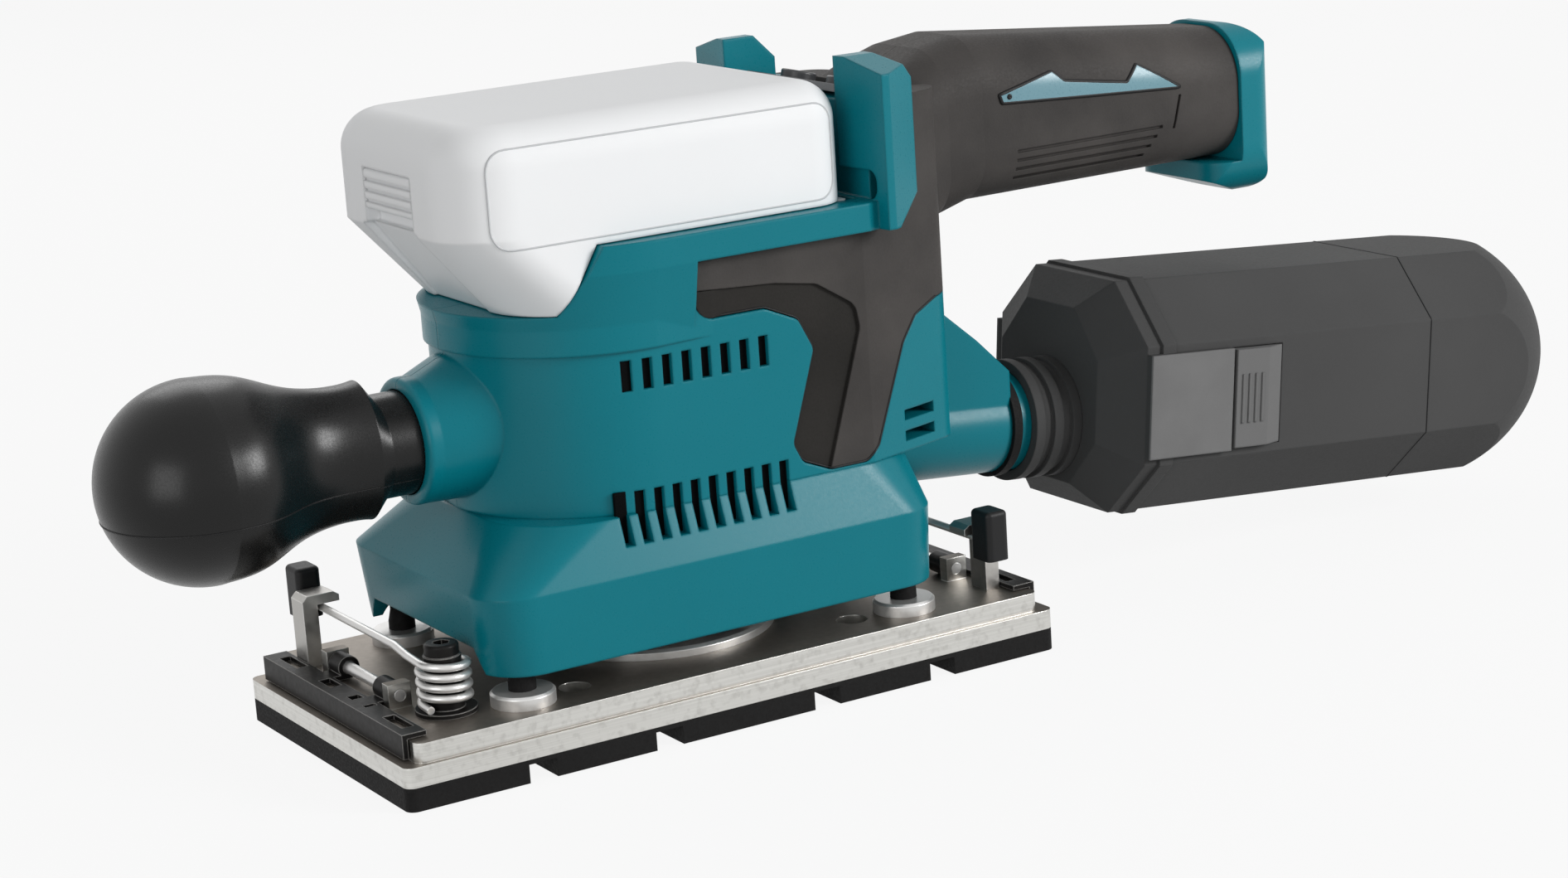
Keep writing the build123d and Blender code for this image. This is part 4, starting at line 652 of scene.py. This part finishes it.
wire(bead_tree,
     (given.outputs["Path"], curve.inputs["Mesh"]),
     (curve.outputs["Curve"], bend.inputs["Curve"]),
     (given.outputs["Corner"], bend.inputs["Radius"]),
     (bend.outputs["Curve"], even.inputs["Curve"]),
     (given.outputs["Step"], even.inputs["Length"]),
     (given.outputs["Carrier"], carrier.inputs["Object"]),
     (carrier.outputs["Geometry"], ray.inputs["Target Geometry"]),
     (inward.outputs["Attribute"], ray.inputs["Ray Direction"]),
     (even.outputs["Curve"], laid.inputs["Geometry"]),
     (ray.outputs["Is Hit"], laid.inputs["Selection"]),
     (ray.outputs["Hit Position"], laid.inputs["Position"]),
     (laid.outputs["Geometry"], tube.inputs["Curve"]),
     (given.outputs["Radius"], bead.inputs["Radius"]),
     (bead.outputs["Curve"], tube.inputs["Profile Curve"]))
end_tree(bead_tree, given, out, tube.outputs["Mesh"])

# %% [markdown]
# ## Edge of the overmould and panels of the battery
# A thin black bead runs along the edge of the hooked overmould, painted shade for the gap where it meets the
# housing, and each side of the battery has a panel with a faint outline. Both are drawn flat, as seen from
# the side, in millimetres along and up the tool, and the rays then lay them on the body, which saves working
# out how far out each point lies.

# %% Edge of the overmould and panels of the battery
ray_start = 0.05
hook_edge = ((54.0, 116.2), (-2.6, 115.6), (-2.6, 105.2), (1.2, 101.4), (17.1, 101.4), (26.3, 97.3),
             (30.4, 89.0), (22.9, 66.0), (25.3, 61.3), (33.1, 58.0), (43.8, 58.0), (47.7, 61.2),
             (58.7, 85.2), (63.8, 91.3), (71.9, 94.4))
panel_edge = ((40.0, 149.0), (-54.0, 149.0), (-54.0, 125.4), (40.0, 125.4))


def traced(points, ways, closed):
    """A line of points beside a piece, with the way inwards at each."""
    path = bpy.data.meshes.new("path")
    count = len(points)
    path.from_pydata(points, [(i, (i + 1) % count) for i in range(count if closed else count - 1)], [])
    inwards = path.attributes.new("inward", "FLOAT_VECTOR", "POINT")
    inwards.data.foreach_set("vector", [part for way in ways for part in way])
    return path


def beside(side, points, closed):
    """A path beside one side of the tool, from millimetres along and up it."""
    line = [(x / 1000, side * ray_start, z / 1000) for x, z in points]
    return traced(line, [(0, -side, 0)] * len(line), closed)


panel_line = moulded("panel_line", tone(196, 198, 200), tone(204, 206, 208), roughness=0.6, shine=0.15)
for side, name in sides:
    # The bead along the hook's edge is painted shade: it darkens the seam gap between overmould and housing.
    grow("hook_edge_" + name, bead_tree, "housing", "black", beside(side, hook_edge, closed=False),
         Carrier=nodes["grip_" + name], Radius=0.0003, Corner=0.003)
    grow("pack_panel_" + name, bead_tree, "battery", "pack", beside(side, panel_edge, closed=True),
         Carrier=nodes["battery_case"], Radius=0.00025, Corner=0.005, Finish=panel_line)

# %% [markdown]
# ## Inlays
# Each inlay is let into the grip with a thin dark frame round it, and it has a small pin at its front tip.
# The frame follows the crown's own corners, so it keeps them sharp, and the pin is a very small ring.

# %% Frames and pins of the inlays
crown = ((101.4, 141.0), (118.7, 144.8), (122.3, 141.9), (143.0, 138.9), (147.1, 143.0), (161.0, 135.5),
         (130.7, 137.2), (102.1, 138.9))
pin_middle, pin_radius = (104.2, 140.3), 0.4


def evenly_round(count):
    """Angles that share out a full turn."""
    return [2 * math.pi * step / count for step in range(count)]


pin_ring = [(pin_middle[0] + pin_radius * math.cos(angle), pin_middle[1] + pin_radius * math.sin(angle))
            for angle in evenly_round(8)]
for side, name in sides:
    grow("inlay_frame_" + name, bead_tree, "housing", "black", beside(side, crown, closed=True),
         Carrier=nodes["grip_" + name], Radius=0.0006)
    grow("inlay_pin_" + name, bead_tree, "housing", "black", beside(side, pin_ring, closed=True),
         Carrier=nodes["inlay_" + name], Radius=0.0004, Step=0.0003)

# %% [markdown]
# ## Dust box
# A black strip lies in the slot behind each arm of the cover, painted shade for the slot's dark bottom, and
# a fine line runs round the box where its domed end was moulded on. The line is a ring of rays that look in
# at the axis of the box, and the axis is the way the box slides, so that it comes from the solid model and
# not from a guess at the angle.

# %% Strips in the slots and line round the box
slot_line = ((161.30, 38.87), (163.64, 65.57))
cap_from_middle = 0.0155
for side, name in sides:
    # The strips in the slots are painted shade, black where the slot's bottom lies in shadow.
    grow("latch_slot_" + name, bead_tree, "cartridge", "black", beside(side, slot_line, closed=False),
         Carrier=nodes["dust_cartridge"], Radius=0.0006)
box_low, box_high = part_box("dust_cartridge")
box_axis = Vector(next(joint["axis"] for joint in frame["joints"] if joint["name"] == "cartridge_slide"))
ring_middle = (box_low + box_high) / 2 + cap_from_middle * box_axis
sideways = Vector((0, 1, 0))
upright = box_axis.cross(sideways)
ring_ways = [-math.cos(angle) * sideways - math.sin(angle) * upright for angle in evenly_round(48)]
ring = [ring_middle - ray_start * way for way in ring_ways]
grow("box_cap_line", bead_tree, "cartridge", "black", traced(ring, ring_ways, closed=True),
     Carrier=nodes["dust_cartridge"], Radius=0.0002)

# %% [markdown]
# ## Seam of the knob
# The knob is two mouldings, and a fine seam shows where they meet. Its path runs along one side of the neck,
# round the ball and back along the other side. On the neck the rays go straight in, and round the ball they
# look at its middle, so that they always meet the surface nearly square.

# %% Seam of the knob
seam_height, knob_clear = 0.0691, 0.035
ball_middle = Vector((-0.1176, 0.0, seam_height))
neck = (-0.0770, -0.0850, -0.0930, -0.1010, -0.1080)
arc_start, arc_sweep, arc_steps = 75, 210, 40
arc_turns = [math.radians(arc_start + arc_sweep * step / arc_steps) for step in range(arc_steps + 1)]
arc_ways = [Vector((-math.cos(angle), -math.sin(angle), 0)) for angle in arc_turns]
seam = [(x, knob_clear, seam_height) for x in neck]
seam += [ball_middle - knob_clear * way for way in arc_ways]
seam += [(x, -knob_clear, seam_height) for x in reversed(neck)]
seam_ways = [(0, -1, 0)] * len(neck) + arc_ways + [(0, 1, 0)] * len(neck)
grow("knob_seam", bead_tree, "housing", "knob", traced(seam, seam_ways, closed=False),
     Carrier=nodes["knob_upper"], Radius=0.00022)

# %% [markdown]
# ## Front end of the hook
# On the real grip the facet inside the hook runs right up to the hook's rounded front end, and the
# belt of the body dies out beside it. In the solid the belt's last stretch lies over that facet, so a thin
# cap with the hook's own outline, in the facet's darker tones, covers it. It is a strip of columns: each
# knows how high it starts, how high it ends and how far out it lies, which says in three short rules what a
# list of points would hide.

# %% Outline of a hook tip
tip_front, tip_rear, belt_end = -0.00275, 0.0060, 0.0020
tip_foot, tip_round = 0.10125, 0.0050
tip_head, head_slope = 0.10835, 0.065
tip_out, belt_slope, rear_sink = 0.0382, 0.075, 0.0012


def tip_column(x):
    """The low and high ends of the tip at `x`, and how far from the middle its face lies."""
    lead = max(0.0, tip_front + tip_round - x)
    low = tip_foot + tip_round - math.sqrt(tip_round ** 2 - lead ** 2)
    high = tip_head - head_slope * (x - tip_front)
    if x < belt_end:
        return low, high, tip_out + belt_slope * (belt_end - x)
    return low, high, tip_out - rear_sink * (x - belt_end) / (tip_rear - belt_end)


print("the tip starts at", [round(value, 4) for value in tip_column(tip_front)])

# %% Hook tips
tip_back, column_count = 0.0364, 25
tip_rubber = moulded("hook_rubber", *darker_facet_tones, roughness=0.62, grain=0.0006, depth=0.00003,
                     shine=0.12, radius=0.0005)
for side, name in sides:
    shape = bmesh.new()
    columns = []
    for step in range(column_count):
        x = tip_front + (tip_rear - tip_front) * step / (column_count - 1)
        low, high, face = tip_column(x)
        corners = ((face, low), (face, high), (tip_back, high), (tip_back, low))
        columns.append([shape.verts.new((x, side * y, z)) for y, z in corners])
    for first, second in zip(columns, columns[1:]):
        for corner in range(4):
            after = (corner + 1) % 4
            shape.faces.new((first[corner], first[after], second[after], second[corner]))
    shape.faces.new(columns[0])
    shape.faces.new(columns[-1])
    bmesh.ops.recalc_face_normals(shape, faces=shape.faces)
    mesh = bpy.data.meshes.new("hook_tip_" + name)
    shape.to_mesh(mesh)
    shape.free()
    mesh.materials.append(tip_rubber)
    tip = bpy.data.objects.new("hook_tip_" + name, mesh)
    bpy.context.scene.collection.objects.link(tip)
    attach(tip, "housing")
    print(tip.name, "faces:", len(mesh.polygons))
